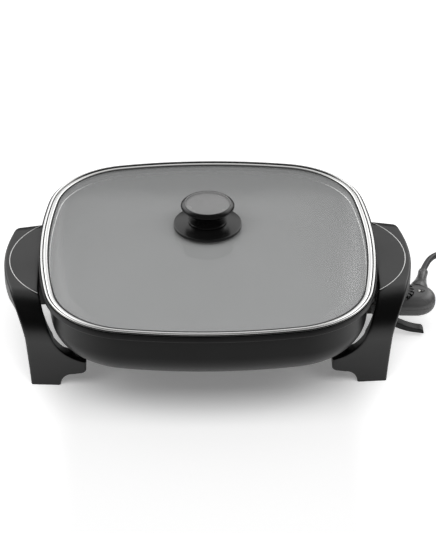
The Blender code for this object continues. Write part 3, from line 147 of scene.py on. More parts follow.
def round_lid(pairs, shrink=None):
    """One row round the lid's line for each (inset, height): the line minus inset times its normal, times shrink."""
    inset, height = np.asarray(pairs, float).T
    share = np.ones(len(inset)) if shrink is None else np.asarray(shrink, float)
    flat = (LINE[None] - inset[:, None, None] * NORMAL[None]) * share[:, None, None]
    rows = np.empty((len(inset), len(LINE), 3))
    rows[..., 0] = flat[..., 0] + MIDDLE
    rows[..., 1] = flat[..., 1]
    rows[..., 2] = height[:, None]
    return rows


def turned_rows(profile, steps=96, place=(0, 0, 0), axis=(0, 0, 1)):
    """A profile of (radius, height) turned about an axis through the place: radius times (cos, sin) and the height."""
    radius, height = np.asarray(profile, float).T
    up = np.array(Vector(axis).normalized())
    side = np.array(Vector(axis).normalized().orthogonal().normalized())
    other = np.cross(up, side)
    angle = np.linspace(0, 2 * math.pi, steps, endpoint=False)
    ring = np.cos(angle)[:, None] * side + np.sin(angle)[:, None] * other
    return np.asarray(place, float) + radius[:, None, None] * ring[None] + height[:, None, None] * up


def pipe_rows(path, radius, steps=20, twin=0.0):
    """A tube along a path: at each point a ring of radius r(a) in the plane across the path, with r(a) dented by
    twin where the ring is straight above and below, which gives a two-core lead its middle grooves."""
    path = np.asarray(path, float)
    along = np.gradient(path, axis=0)
    along /= np.linalg.norm(along, axis=1)[:, None]
    level = np.cross(along, [0, 0, 1.0])
    level /= np.linalg.norm(level, axis=1)[:, None]
    up = np.cross(level, along)
    angle = np.linspace(0, 2 * math.pi, steps, endpoint=False)
    dent = 1 - twin * np.exp(-((np.cos(angle) / 0.28) ** 2))
    ring = (np.cos(angle) * dent)[None, :, None] * level[:, None] + (np.sin(angle) * dent)[None, :, None] * up[:, None]
    return path[:, None] + np.asarray(radius).reshape(-1, 1, 1) * ring


def block_rows(low, high, edge):
    """A block with rounded edges: rounded rectangles in plan whose inset follows a quarter circle at top and foot."""
    low, high = np.asarray(low, float), np.asarray(high, float)
    angle = np.linspace(0, math.pi / 2, 5)
    inset = edge * np.concatenate([1 - np.sin(angle), 1 - np.sin(angle[::-1])])
    height = np.concatenate([low[2] + edge * (1 - np.cos(angle)), high[2] - edge * (1 - np.cos(angle[::-1]))])
    turn = np.concatenate([angle + k * math.pi / 2 for k in range(4)])
    corner = np.repeat([[1, 1], [-1, 1], [-1, -1], [1, -1]], 5, axis=0)
    middle, half = (low + high)[:2] / 2, (high - low)[:2] / 2 - edge
    ring = np.stack([np.cos(turn), np.sin(turn)], 1)
    rows = np.empty((len(inset), len(turn), 3))
    rows[..., :2] = middle + corner * half + (edge - inset)[:, None, None] * ring
    rows[..., 2] = height[:, None]
    return rows


def skin(name, grids, look, body, stands_for=(), crease=35, looks=None, switch=None):
    """Joins each grid of rows into faces, closes rows round, and rows of a ring to the first; caps open ends.
    With two looks, the second one holds from the switch row on."""
    points, faces, marks, base = [], [], [], 0
    for grid, ends in grids:
        here = np.arange(grid.shape[0] * grid.shape[1]).reshape(grid.shape[:2]) + base
        rows = np.concatenate([here, here[:1]]) if ends == "ring" else here
        after = np.roll(rows, -1, axis=1)
        quads = np.stack([rows[:-1], after[:-1], after[1:], rows[1:]], -1)
        faces += quads.reshape(-1, 4).tolist()
        second = np.arange(len(rows) - 1) >= (len(rows) if switch is None else switch)
        marks += np.repeat(second.astype(int), grid.shape[1]).tolist()
        if ends == "caps":
            faces += [here[0].tolist(), here[-1].tolist()]
            marks += [marks[-len(quads) * grid.shape[1]], marks[-1]]
        points.append(grid.reshape(-1, 3))
        base += grid.shape[0] * grid.shape[1]
    mesh = bpy.data.meshes.new(name)
    mesh.from_pydata(np.concatenate(points).tolist(), [], faces)
    mesh.polygons.foreach_set("material_index", marks)
    bm = bmesh.new()
    bm.from_mesh(mesh)
    bmesh.ops.remove_doubles(bm, verts=bm.verts, dist=2e-6)
    bmesh.ops.dissolve_degenerate(bm, edges=bm.edges, dist=1e-6)
    bmesh.ops.recalc_face_normals(bm, faces=bm.faces)
    bm.to_mesh(mesh)
    bm.free()
    for each in looks or [look]:
        mesh.materials.append(each)
    obj = placed(name, mesh)
    soften(obj, crease)
    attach(obj, body)
    if stands_for:
        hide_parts(*stands_for)
    return obj


def soften(obj, crease):
    """Smooth shading, with every edge sharper than the crease in degrees left hard."""
    obj.data.shade_smooth()
    obj.data.set_sharp_from_angle(angle=math.radians(crease))


def carve(obj, grids, crease=35):
    """Takes closed grids out of a piece, one cut after another, and keeps the result as its mesh."""
    for grid, ends in grids:
        cutter = skin("cutter", [(grid, ends)], None, "skillet")
        cutter.data.materials.clear()
        step = obj.modifiers.new("cut", "BOOLEAN")
        step.object = cutter
        step.operation = "DIFFERENCE"
        step.solver = "EXACT"
        graph = bpy.context.evaluated_depsgraph_get()
        result = bpy.data.meshes.new_from_object(obj.evaluated_get(graph))
        obj.modifiers.clear()
        old, obj.data = obj.data, result
        bpy.data.meshes.remove(old)
        bpy.data.objects.remove(cutter)
    soften(obj, crease)


# Finishes

def finish_of(name, colour, roughness, metallic=0.0):
    """A new material with its node tree and its shader."""
    made = bpy.data.materials.new(name)
    made.use_nodes = True
    shader = made.node_tree.nodes["Principled BSDF"]
    shader.inputs["Base Color"].default_value = (*colour, 1)
    shader.inputs["Roughness"].default_value = roughness
    shader.inputs["Metallic"].default_value = metallic
    return made, made.node_tree, shader


def node(tree, kind, **values):
    """A node with values for its inputs, or for its own settings where no input has that name."""
    made = tree.nodes.new(kind)
    for key, value in values.items():
        if key in made.inputs:
            made.inputs[key].default_value = value
        else:
            setattr(made, key, value)
    return made


def grain(tree, scale, detail=3.0, stretch=(1, 1, 1)):
    """Noise on Object coordinates, in cells of 1/scale metres."""
    place = node(tree, "ShaderNodeTexCoord")
    size = node(tree, "ShaderNodeMapping", Scale=stretch)
    tree.links.new(place.outputs["Object"], size.inputs["Vector"])
    made = node(tree, "ShaderNodeTexNoise", Scale=scale, Detail=detail)
    tree.links.new(size.outputs["Vector"], made.inputs["Vector"])
    return made


def ranged(tree, source, low, high, start, end, kind="LINEAR"):
    """Goes from start to end as the source goes from low to high."""
    made = node(tree, "ShaderNodeMapRange", interpolation_type=kind)
    for key, value in zip(("From Min", "From Max", "To Min", "To Max"), (low, high, start, end)):
        made.inputs[key].default_value = value
    tree.links.new(source, made.inputs["Value"])
    return made.outputs["Result"]


def between(tree, source, low, high):
    """Spreads a noise's middle range between two values."""
    return ranged(tree, source, 0.3, 0.7, low, high)


def maths(tree, operation, first, second):
    """One sum of two values, each a number or another node's output."""
    made = node(tree, "ShaderNodeMath", operation=operation)
    for socket, value in zip(made.inputs, (first, second)):
        if isinstance(value, (int, float)):
            socket.default_value = value
        else:
            tree.links.new(value, socket)
    return made.outputs["Value"]


def grey(tree, value):
    """The grey whose three channels are one value."""
    made = node(tree, "ShaderNodeCombineColor")
    for channel in ("Red", "Green", "Blue"):
        tree.links.new(value, made.inputs[channel])
    return made.outputs["Color"]


def bumped(tree, shader, source, depth, strength=1.0):
    """Bumps of the given depth in metres, as high as the source is."""
    bump = node(tree, "ShaderNodeBump", Strength=strength, Distance=depth)
    tree.links.new(source, bump.inputs["Height"])
    tree.links.new(bump.outputs["Normal"], shader.inputs["Normal"])


def tinted(tree, shader, source, dark, light):
    """Base colour between two shades as a noise runs from its low to its high range."""
    ramp = node(tree, "ShaderNodeValToRGB")
    ramp.color_ramp.elements[0].position, ramp.color_ramp.elements[1].position = 0.35, 0.65
    ramp.color_ramp.elements[0].color = (*dark, 1)
    ramp.color_ramp.elements[1].color = (*light, 1)
    tree.links.new(source, ramp.inputs["Fac"])
    tree.links.new(ramp.outputs["Color"], shader.inputs["Base Color"])


def moulded(name, dark, light, roughness, cell=0.0006, depth=0.00002, wave=0.05):
    """Moulded black plastic or phenolic: fine spark-eroded grain, and a slow drift in shade and gloss."""
    made, tree, shader = finish_of(name, light, roughness)
    fine = grain(tree, 1 / cell, 2.0)
    slow = grain(tree, 22.0, 4.0)
    tinted(tree, shader, slow.outputs["Fac"], dark, light)
    tree.links.new(between(tree, slow.outputs["Fac"], roughness - wave, roughness + wave), shader.inputs["Roughness"])
    bumped(tree, shader, fine.outputs["Fac"], depth, 0.5)
    return made


def polished_steel(name, shade, roughness, brush=(1, 1, 1), scale=900.0):
    """Polished metal with a very fine grain and a slow drift in gloss."""
    made, tree, shader = finish_of(name, (shade, shade, shade * 0.99), roughness, 1.0)
    lines = grain(tree, scale, 2.0, brush)
    slow = grain(tree, 30.0)
    tree.links.new(between(tree, slow.outputs["Fac"], roughness * 0.8, roughness * 1.25), shader.inputs["Roughness"])
    bumped(tree, shader, lines.outputs["Fac"], 0.000004, 0.3)
    return made


def non_stick(name, dark, light, roughness, speckle, gloss, peel_depth=0.00002):
    """Sprayed non-stick coating: orange-peel bumps, and fine paler flecks where small cells pass a limit."""
    made, tree, shader = finish_of(name, light, roughness)
    peel = grain(tree, 700.0, 2.0)
    place = node(tree, "ShaderNodeTexCoord")
    cells = node(tree, "ShaderNodeTexVoronoi", Scale=260.0)
    tree.links.new(place.outputs["Object"], cells.inputs["Vector"])
    flecks = ranged(tree, cells.outputs["Distance"], 0.10, 0.22, speckle, 0.0)
    slow = grain(tree, 14.0, 4.0)
    tone = ranged(tree, slow.outputs["Fac"], 0.35, 0.65, dark[0], light[0])
    tree.links.new(grey(tree, maths(tree, "ADD", tone, flecks)), shader.inputs["Base Color"])
    bumped(tree, shader, peel.outputs["Fac"], peel_depth, 0.4)
    shader.inputs["Specular IOR Level"].default_value = gloss
    return made


def clear_glass(name):
    """Clear glass as a see-through surface, so that the pan's inside shows, with a faint uneven gloss. Its pale colour
    at a quarter strength lays a light veil over the inside, for slight fogging and partly a painted reflection of the
    room.
    """
    made, tree, shader = finish_of(name, (0.78, 0.79, 0.79), 0.06)
    shader.inputs["Alpha"].default_value = 0.25
    shader.inputs["IOR"].default_value = 1.5
    haze = grain(tree, 18.0, 5.0)
    tree.links.new(between(tree, haze.outputs["Fac"], 0.05, 0.09), shader.inputs["Roughness"])
    made.surface_render_method = "BLENDED"
    return made


LOOKS = {
    "pan_coating": non_stick("pan_outside", (0.0062,) * 3, (0.0085,) * 3, 0.34, 0.0, 0.34),
    "handle_phenolic": moulded("handle_phenolic", (0.0024,) * 3, (0.0036,) * 3, 0.35),
    "steel": polished_steel("rim_steel", 0.74, 0.15),
    "lid_glass": clear_glass("lid_glass"),
    "black_rubber": moulded("black_rubber", (0.010,) * 3, (0.014,) * 3, 0.65, 0.0009),
    "knob_black": moulded("knob_black", (0.0045,) * 3, (0.0065,) * 3, 0.22, 0.0007, 0.000012),
    # control_black, on the housings, strain relief and trigger lugs, is a grey kept lighter than the other black
    # plastics: painted sheen.
    "control_black": moulded("control_black", (0.080,) * 3, (0.096,) * 3, 0.28, 0.0006),
    "contact_phenolic": moulded("contact_phenolic", (0.016, 0.013, 0.011), (0.026, 0.021, 0.018), 0.55),
    "brass": polished_steel("contact_brass", 0.75, 0.28),
    "indicator_lens": finish_of("indicator_lens", (0.035, 0.034, 0.033), 0.08)[0],
    "indicator_lamp": finish_of("indicator_lamp", (0.72, 0.30, 0.12), 0.25)[0],
    "cord_black": moulded("cord_black", (0.026, 0.026, 0.027), (0.034, 0.034, 0.035), 0.42, 0.0010),
    "element_sheath": polished_steel("element_sheath", 0.22, 0.42),
}
for slot, key, value in (
    ("handle_phenolic", "Specular IOR Level", 0.60),
    ("brass", "Base Color", (0.74, 0.55, 0.28, 1)),
):
    LOOKS[slot].node_tree.nodes["Principled BSDF"].inputs[key].default_value = value
INSIDE = non_stick("pan_inside", (0.092,) * 3, (0.110,) * 3, 0.50, 0.012, 0.30, 0.000002)
TRIM = polished_steel("silver_line", 0.62, 0.40)
MOUTH_PAINTED_HIGHLIGHT = polished_steel("pan_mouth_painted_highlight", 0.85, 0.30)
PAINTED_GLINT = finish_of("lamp_painted_glint", (0.86, 0.85, 0.83), 0.15)[0]
# The trigger's plain black, darker than the housings' control_black, which carries the painted sheen.
TRIGGER = moulded("trigger_black", (0.005,) * 3, (0.007,) * 3, 0.50, 0.0006)
# The knob grip's top and raised ring in a lighter grey than the knob's black: painted sheen.
KNOB_TOP_PAINTED_SHEEN = moulded("knob_top_painted_sheen", (0.21,) * 3, (0.27,) * 3, 0.26, 0.0007, 0.00001)


def dress_nodes():
    """Every node that shows as it was packed takes the finish of its slot."""
    slots = {row["node"]: row["material_slot"] for row in frame["record"]["subparts"]}
    for name, obj in frame["nodes"].items():
        obj.data.materials.clear()
        obj.data.materials.append(LOOKS[slots[name]])
        soften(obj, 35)


# Camera and cord

def aim_camera():
    """The photograph's angle, from a fit to the lid's outline and the knob's discs: focal length and shift in shares
    of the picture's 533 pixels, then the camera's height angle, its turn and its distance from the lid's middle."""
    data = bpy.data.cameras.new("camera")
    data.sensor_width = 36
    tall = 533
    data.lens = 2657 / tall * 36
    data.shift_x = 10.4 / tall
    data.shift_y = -20 / tall
    camera = placed("camera", data)
    lift, turn, away = 0.5498, math.radians(1.1), 2.4254
    back = Vector((-math.sin(turn) * math.cos(lift), -math.cos(turn) * math.cos(lift), math.sin(lift)))
    camera.location = Vector((MIDDLE, 0, RIM_SEAT)) + back * away
    camera.rotation_euler = (-back).to_track_quat("-Z", "Y").to_euler()
    bpy.context.scene.camera = camera


def cord_path():
    """The cord's line: out of the strain relief, down to the floor, two layers of winding, and the tail to the plug."""
    axis = np.array([math.sin(RELIEF_TURN), math.cos(RELIEF_TURN), 0])
    control_end = CONTROL_X + CONTROL_LENGTH
    start = np.array([CONTROL_X + RELIEF_AT, 0, PIN_LEVEL]) + axis * (RELIEF_END + GAP)
    route = np.array([
        (0.0001, 0.0690, 0.0380), (0.0070, 0.0795, 0.0365), (0.0145, 0.0870, 0.0335), (0.0240, 0.0945, 0.0285),
        (0.0365, 0.1005, 0.0222), (0.0510, 0.1035, 0.0155), (0.0660, 0.1030, 0.0098), (0.0795, 0.0998, 0.0062),
    ]) + [control_end, 0, 0]
    pitch, outer, turns_in, turns_out = CORD_WIDE + 0.0006, 0.0368, 1.5, 1.66
    turns = np.linspace(0, turns_in + turns_out, 77)
    angle = math.radians(68) - 2 * math.pi * turns
    radius = outer - pitch * (turns_in - np.abs(turns_in - turns))
    floor = 0.0008 + GAP + CORD_WIDE / 2
    coil = np.stack([
        control_end + 0.0895 + radius * np.cos(angle),
        0.0565 + radius * np.sin(angle),
        floor + pitch * smooth((turns - turns_in) * 2 + 0.5),
    ], 1)
    heading = (coil[-1] - coil[-2]) / np.linalg.norm(coil[-1] - coil[-2])
    plug_end = coil[-1] + heading * 0.052
    plug_end[2] = 0.0075
    level = heading * [1, 1, 0]
    level /= np.linalg.norm(level)
    last = plug_end - level * CORD_WIDE
    share = np.array([0.25, 0.5, 0.75])
    bridge = coil[-1] + level * (np.linalg.norm(last - coil[-1]) * share)[:, None]
    bridge[:, 2] = coil[-1, 2] + (last[2] - coil[-1, 2]) * smooth(share)
    entry = coil[0] - (coil[1] - coil[0]) / np.linalg.norm(coil[1] - coil[0]) * CORD_WIDE
    knots = np.concatenate([[start, start + axis * CORD_WIDE], route, [entry], coil, bridge, [last, plug_end]])
    return flowing(knots, 3)


def make_cord():
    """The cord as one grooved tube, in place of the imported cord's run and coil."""
    path = cord_path()
    rows = pipe_rows(path, CORD_WIDE / 2, 20, 0.10)
    cord = skin(
        "power_cord", [(rows, "caps")], LOOKS["cord_black"], "control", ("cord_run", "cord_coil"), 60
    )


# Pan

def heel(wall, radius, bottom, steps, inwards=True):
    """(inset, height) down a quarter circle from an upright wall to a flat floor."""
    angle = np.linspace(0, math.pi / 2, steps)
    pairs = np.stack([wall + radius * (1 - np.cos(angle)), bottom + radius * (1 - np.sin(angle))], 1)
    return pairs if inwards else pairs[::-1]


def make_pan():
    """Floor, heel and wall inside, the turned-out lip with its raised guard, then the wall, heel and underside with its
    two ribs; apart from it a bright steel line under the mouth that is a painted highlight on that edge, the handles'
    bosses and the probe well's pad."""
    top = RIM_SEAT - GAP
    lip, lip_low, lip_round, wall = 0.0015, top - 0.0035, 0.000875, 0.0053
    floor = PAN_FOOT + 0.004
    inside = heel(0.0098, 0.020, floor, 14, False)
    into_lip = [(0.0093, top - 0.0062), (0.0089, top - 0.0056), (0.0083, top - 0.0050), (0.0074, top - 0.0042),
                (0.0062, top - 0.0024), (0.0055, top - 0.0008), (0.0045, top)]
    angle = np.linspace(0, math.pi / 2, 5)
    guard, crest = 0.0006, top + 0.0013
    over = [(0.0002, top), (-GAP, top + 0.0002), (-GAP, crest)]
    turn = np.linspace(0, math.pi, 9)[1:]
    over = np.concatenate([over, np.stack([guard * np.cos(turn) - GAP - guard, crest + guard * np.sin(turn)], 1)])
    under = np.stack([
        lip_round - lip - lip_round * np.cos(angle), lip_low + lip_round - lip_round * np.sin(angle),
    ], 1)
    root = quadratic((0.0030, lip_low), (0.0045, lip_low), (0.0047, lip_low - 0.003), np.linspace(0, 1, 5))
    outside = heel(wall, 0.0245, PAN_FOOT, 18)
    centre = np.array([(0.06, floor)] * 3)
    rib = 0.055
    ribs = [(rib + d, PAN_FOOT - h) for d, h in (
        (-0.00615, 0), (-0.00615, 0.0045), (-0.00415, 0.0045), (-0.00415, 0),
        (0.00415, 0), (0.00415, 0.0045), (0.00615, 0.0045), (0.00615, 0),
    )]
    under_middle = np.array([(0.065, PAN_FOOT)] * 3)
    pairs = np.concatenate([centre, inside, into_lip, over, under, root, outside, ribs, under_middle])
    shrink = np.ones(len(pairs))
    shrink[:3] = (0, 0.5, 1)
    shrink[-3:] = (1, 0.5, 0)
    rows = round_lid(pairs, shrink)
    mouth = (rows[..., 0] > MIDDLE) & (np.abs(rows[..., 1]) < 0.029) & (rows[..., 2] < PAN_FOOT)
    rows[..., 2] = np.where(mouth, PAN_FOOT, rows[..., 2])
    switch = len(centre) + len(inside) + len(into_lip) - 1
    boss = [(0, 0.0248), (0.0055, 0.0248), (0.0055, 0.0515), (0, 0.0515)]
    bosses = [
        (turned_rows(boss, 40, (MIDDLE + x, y, 0)), "rows") for x in (-BOSS_X, BOSS_X) for y in (-BOSS_Y, BOSS_Y)
    ]
    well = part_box("probe_well")
    pad = block_rows((well[0].x + 0.0045, -0.0021, well[1].z + GAP), (well[0].x + 0.0129, 0.0021, 0.0505), 0.0004)
    skin(
        "skillet_pan", [(rows, "rows")], None, "skillet", ("pan",), 40,
        [INSIDE, LOOKS["pan_coating"]], switch,
    )
    # A thin bright steel ring where the mouth turns into the wall: a painted highlight on that edge.
    line = np.array([(0.0080, -0.0050), (0.0083, -0.0046), (0.0088, -0.0050), (0.0088, -0.0056)]) + [0, top]
    skin("pan_mouth_highlight_line", [(round_lid(line), "ring")], MOUTH_PAINTED_HIGHLIGHT, "skillet", (), 30)
    skin("pan_bosses", bosses + [(pad, "caps")], LOOKS["pan_coating"], "skillet", (), 40)


def make_element():
    """The sheathed element's loop on the lid's line drawn in, with each end turned out and dipped to its pin."""
    half, bend, leg, radius = LID_HALF - ELEMENT_INSET, 0.012, 0.0095, 0.00375
    level = PAN_FOOT - GAP - radius
    ring = LINE - ELEMENT_INSET * NORMAL
    away = (ring[:, 0] < half - bend) | (np.abs(ring[:, 1]) > leg + bend)
    ring = ring[away]
    ring = ring[np.argsort(np.arctan2(ring[:, 1], ring[:, 0]) % (2 * math.pi))]
    share = np.linspace(0, 1, 12)
    angle = math.pi + math.pi / 2 * share
    turn = np.stack([
        half + bend + bend * np.cos(angle), leg + bend + bend * np.sin(angle),
        level + (PIN_LEVEL - level) * (1 - np.cos(math.pi * share)) / 2,
    ], 1)
    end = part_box("terminal_pin_back")[0].x - GAP - MIDDLE
    start = np.concatenate([[[end, leg, PIN_LEVEL]], turn[::-1]])
    loop = np.column_stack([ring, np.full(len(ring), level)])
    path = np.concatenate([start, loop, start[::-1] * [1, -1, 1]]) + [MIDDLE, 0, 0]
    skin(
        "element_loop", [(pipe_rows(path, radius, 18), "caps")], LOOKS["element_sheath"], "skillet",
        ("heating_element",), 50,
    )


# Lid

def make_lid():
    """A rolled steel rim of a bead and a crowned band, a black strip on each side of the band as painted shade in its
    groove and gap, a flat glass margin, and a dome that falls from its middle as (1 - s^2)^0.85."""
    bead, top, wide = 0.0011, 0.0034, 0.0068
    angle = np.linspace(-0.10, 0.90, 15) * math.pi
    roll = np.stack([bead - bead * np.cos(angle), top - bead + bead * np.sin(angle)], 1)
    band = flowing([(0.0029, 0.0020), (0.0032, 0.0024), (0.0042, 0.0028), (0.0053, 0.0028), (0.0063, 0.0025),
                    (wide, 0.0020)], 4)
    skirt = [(0.0033, 0.0013), (0.0029, 0.0005), (0.0023, 0.0001), (0.0006, 0.0001), (0.0001, 0.0005)]
    profile = np.concatenate([roll, [(0.0024, 0.0019)], band, [(0.0067, 0.0013)], skirt]) + [0, RIM_SEAT]
    skin("lid_rim_band", [(round_lid(profile), "ring")], LOOKS["steel"], "lid", ("lid_rim",), 40)
    # Black strips in the groove outside the band and in the gap inside it: painted shade.
    shade_strips = [(0.0021, 0.0030, 0.0014, 0.0023), (0.0066, 0.0077, 0.0013, 0.0024)]
    shade_strips = [np.array([(a, low), (a, high), (b, high), (b, low)]) + [0, RIM_SEAT] for a, b, low, high in shade_strips]
    rings = [(round_lid(row), "ring") for row in shade_strips]
    skin("lid_painted_shade", rings, LOOKS["black_rubber"], "lid", (), 40)

    base, thick, margin, rise = RIM_SEAT + 0.0011, 0.0032, 0.013, 0.0164
    share = np.concatenate([[1.0], np.linspace(0.995, 0.5, 24), np.linspace(0.47, 0.02, 14)])
    height = rise * np.maximum(1 - share**2, 0) ** 0.85
    hole = 0.003 / (LID_HALF - margin)
    share, height = np.append(share, hole), np.append(height, rise)
    upper = np.column_stack([np.full(len(share), margin), base + thick + height])
    lower = np.column_stack([np.full(len(share), margin), base + height])
    tongue = np.array([
        (0.0125, 0.0011), (0.0095, 0.0003), (0.0038, 0.0003), (0.0038, 0.0010),
        (0.0076, 0.0010), (0.0079, 0.0021), (0.0086, 0.0025), (0.0105, 0.0031),
    ]) + [0, RIM_SEAT]
    pairs = np.concatenate([lower[::-1], tongue, upper])
    shrink = np.concatenate([share[::-1], np.ones(len(tongue)), share])
    skin(
        "lid_glass_dome", [(round_lid(pairs, shrink), "ring")], LOOKS["lid_glass"], "lid", ("lid_glass",),
        50,
    )


def make_knob():
    """A disc with a raised inner shoulder, and a waisted grip with a sunk top, as shares of their width and height. The
    grip's top and raised ring take a lighter grey than its black, a painted sheen.
    """
    low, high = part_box("knob_skirt")
    place, tall, wide = (MIDDLE, 0, low.z), high.z - low.z, (high.x - low.x) / 2
    shares = [(0.56, 0.76), (0.585, 0.745), (0.66, 0.70), (0.80, 0.61), (0.93, 0.51), (0.985, 0.46), (1.0, 0.38),
              (1.0, 0.10), (0.98, 0.05), (0.93, 0.04), (0.62, 0.42), (0.35, 0.46), (0.35, 0.03)]
    line = flowing(shares, 4) * [wide, tall]
    line = np.concatenate([[(0.0028, line[0, 1])], line, [(0.0028, line[-1, 1])]])
    skin(
        "knob_disc", [(turned_rows(line, 128, place), "ring")], LOOKS["knob_black"], "lid", ("knob_skirt",),
        50,
    )

    low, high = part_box("knob_grip")
    place, tall, wide = (MIDDLE, 0, low.z), high.z - low.z, (high.x - low.x) / 2
    crown = flowing([(0.0, 0.965), (0.30, 0.962), (0.60, 0.945), (0.76, 0.925), (0.795, 0.90), (0.82, 0.90)], 5)
    side = flowing([(0.82, 0.90), (0.835, 0.95), (0.86, 0.99), (0.89, 0.985), (0.95, 0.925), (0.99, 0.865), (1.0, 0.82),
                    (0.99, 0.785), (0.93, 0.72), (0.85, 0.60), (0.77, 0.44), (0.725, 0.27), (0.705, 0.10),
                    (0.70, 0.0), (0.718, -0.03), (0.728, -0.055), (0.71, -0.08)], 5)
    line = np.concatenate([crown[:-1], side]) * [wide, tall]
    line = np.concatenate([line, [(0.0028, -0.08 * tall), (0.0028, 0.0103), (0, 0.0103)]])
    # Rows before this one, the top and raised ring, take the lighter painted sheen; the rest of the grip is black.
    switch = len(crown) + 9
    skin(
        "knob_handle", [(turned_rows(line, 128, place), "rows")], None, "lid", ("knob_grip",), 50,
        [KNOB_TOP_PAINTED_SHEEN, LOOKS["knob_black"]], switch,
    )


# Handles

WING_Z, WING_DEPTH, WING_BEND = RIM_SEAT - 0.011, 0.084, 0.030
REACH, EDGE_ARC, TURN_X = LID_HALF + 0.0334, 0.165, LID_HALF - 0.013
FOOT_X, SLANT = LID_HALF + 0.0087, 0.0066
LEAN = math.radians(16)


def wing_edge(y):
    """The wing's outer edge in plan: an arc, met where the slanted front brings this y."""
    drawn = y * (1 - SLANT * (REACH - TURN_X) / (FOOT_X - TURN_X) / WING_DEPTH)
    return REACH - EDGE_ARC + np.sqrt(EDGE_ARC**2 - drawn**2)


def handle_line():
    """Columns y, z, lean, inner x, outer x and thickness, from the wing's middle round its bend and down the leg."""
    flat_end = WING_DEPTH - WING_BEND
    y = np.linspace(0, flat_end, 15)[:-1]
    thick = 0.013 + 0.002 * smooth(y / 0.045)
    full = np.full(len(y), 1.0)
    wing = np.stack([y, full * WING_Z, full * math.pi / 2, full * LID_HALF, wing_edge(y), thick], 1)
    share = np.linspace(0, 1, 19)[:-1]
    lean = math.pi / 2 - (math.pi / 2 + LEAN) * share
    edge_end, top_x = wing_edge(flat_end), LID_HALF + 0.0127
    bend = np.stack([
        flat_end + WING_BEND * np.cos(lean), WING_Z - WING_BEND + WING_BEND * np.sin(lean), lean,
        LID_HALF - 0.0129 * share**1.43, edge_end + (top_x - edge_end) * (share + smooth(share)) / 2,
        0.015 - 0.003 * smooth(share),
    ], 1)
    top = (flat_end + WING_BEND * math.cos(LEAN), WING_Z - WING_BEND - WING_BEND * math.sin(LEAN))
    toe_x, toe_top, toe_low = LID_HALF - 0.0415, 0.0265, 0.0134
    inner = quadratic((LID_HALF - 0.0129, top[1]), (LID_HALF - 0.0218, 0.031), (toe_x, toe_top), np.linspace(0, 1, 29))
    angle = np.linspace(0, math.pi / 2, 7)
    corner = np.stack([toe_x + 0.004 - 0.004 * np.cos(angle), toe_low + 0.004 - 0.004 * np.sin(angle)], 1)
    foot = math.asin(0.001 / 0.013)
    angle = np.linspace(math.pi / 2, foot, 13)
    arch = np.stack([LID_HALF - 0.031 + 0.013 * np.cos(angle), np.minimum(0.013 * np.sin(angle) - 0.001, toe_low)], 1)
    x, z = np.concatenate([inner, corner, arch]).T
    thick = 0.012 + 0.007 * smooth(2 * (top[1] - z) / (top[1] - toe_top) - 1)
    leg = np.stack([
        quadratic_at(top, (WING_DEPTH - 0.0088, 0.022), (WING_DEPTH - 0.0065, 0), z), z, 0 * z, x,
        quadratic_at((top_x, top[1]), (LID_HALF + 0.0112, 0.028), (FOOT_X, 0), z), thick,
    ], 1)
    return np.concatenate([wing, bend, leg])


def handle_rows(side):
    """A rounded rectangle at each station, laid off its outer face, mirrored from front to back."""
    y, z, lean, inner, outer, thick = (v[:, None] for v in handle_line().T)
    edge = np.minimum(0.0022, thick / 3)
    turn = np.linspace(0, math.pi / 2, 7)
    flat = np.linspace(0, 1, 9)[1:-1]
    s, c, one = np.sin(turn), np.cos(turn), np.ones(7)
    reach = np.concatenate([flat, one, one, 1 - flat, 0 * one, 0 * one])
    pull = np.concatenate([1 - 2 * flat, s - 1, c - 1, 2 * flat - 1, 1 - s, 1 - c])
    deep = np.concatenate([0 * flat, 0 * one, one, 1 + 0 * flat, one, 0 * one])
    push = np.concatenate([0 * flat, 1 - c, s - 1, 0 * flat, c - 1, 1 - s])
    x = inner + (outer - inner) * reach + edge * pull
    depth = thick * deep + edge * push
    slant = SLANT + (0.0015 - SLANT) * (1 - z / RIM_SEAT)
    face = y - slant * (x - TURN_X) / (FOOT_X - TURN_X) * np.minimum(1, y / WING_DEPTH)
    front = np.stack([MIDDLE + side * x, -(face - np.cos(lean) * depth), z - np.sin(lean) * depth], -1)
    return np.concatenate([front[::-1], (front * [1, -1, 1])[1:]])


def make_handle(name, side, node_name):
    """A handle with its two legs, bored for the pan's bosses and their screws, and the silver arc on its wing."""
    handle = skin(
        name, [(handle_rows(side), "caps")], LOOKS["handle_phenolic"], "skillet", (node_name,), 40
    )
    bore = [(0, -0.004), (0.0039, -0.004), (0.0039, 0.0167), (0.0023, 0.0167), (0.0023, 0.0245),
            (0.0058, 0.0245), (0.0058, 0.0485), (0, 0.0485)]
    places = [(MIDDLE + side * BOSS_X, y, 0) for y in (-BOSS_Y, BOSS_Y)]
    carve(handle, [(turned_rows(bore, 40, place), "rows") for place in places], 40)

    wide, centre, radius = 0.0009, LID_HALF + 0.0283 - 0.0772, 0.0772
    reach = math.acos((LID_HALF + 0.0008 - centre) / radius)
    angle = np.linspace(-reach, reach, 121)[:, None]
    offset, lift = np.array([
        (-0.5, -0.0004), (-0.5, 0.00005), (-0.3, 0.00022), (0, 0.00027), (0.3, 0.00022), (0.5, 0.00005), (0.5, -0.0004),
    ]).T
    r = radius + wide * offset
    rows = np.stack([
        MIDDLE + side * (centre + r * np.cos(angle)), r * np.sin(angle), WING_Z + lift + 0 * angle,
    ], -1)
    skin(name + "_silver_line", [(rows, "caps")], TRIM, "skillet", (), 60)


# Heat control

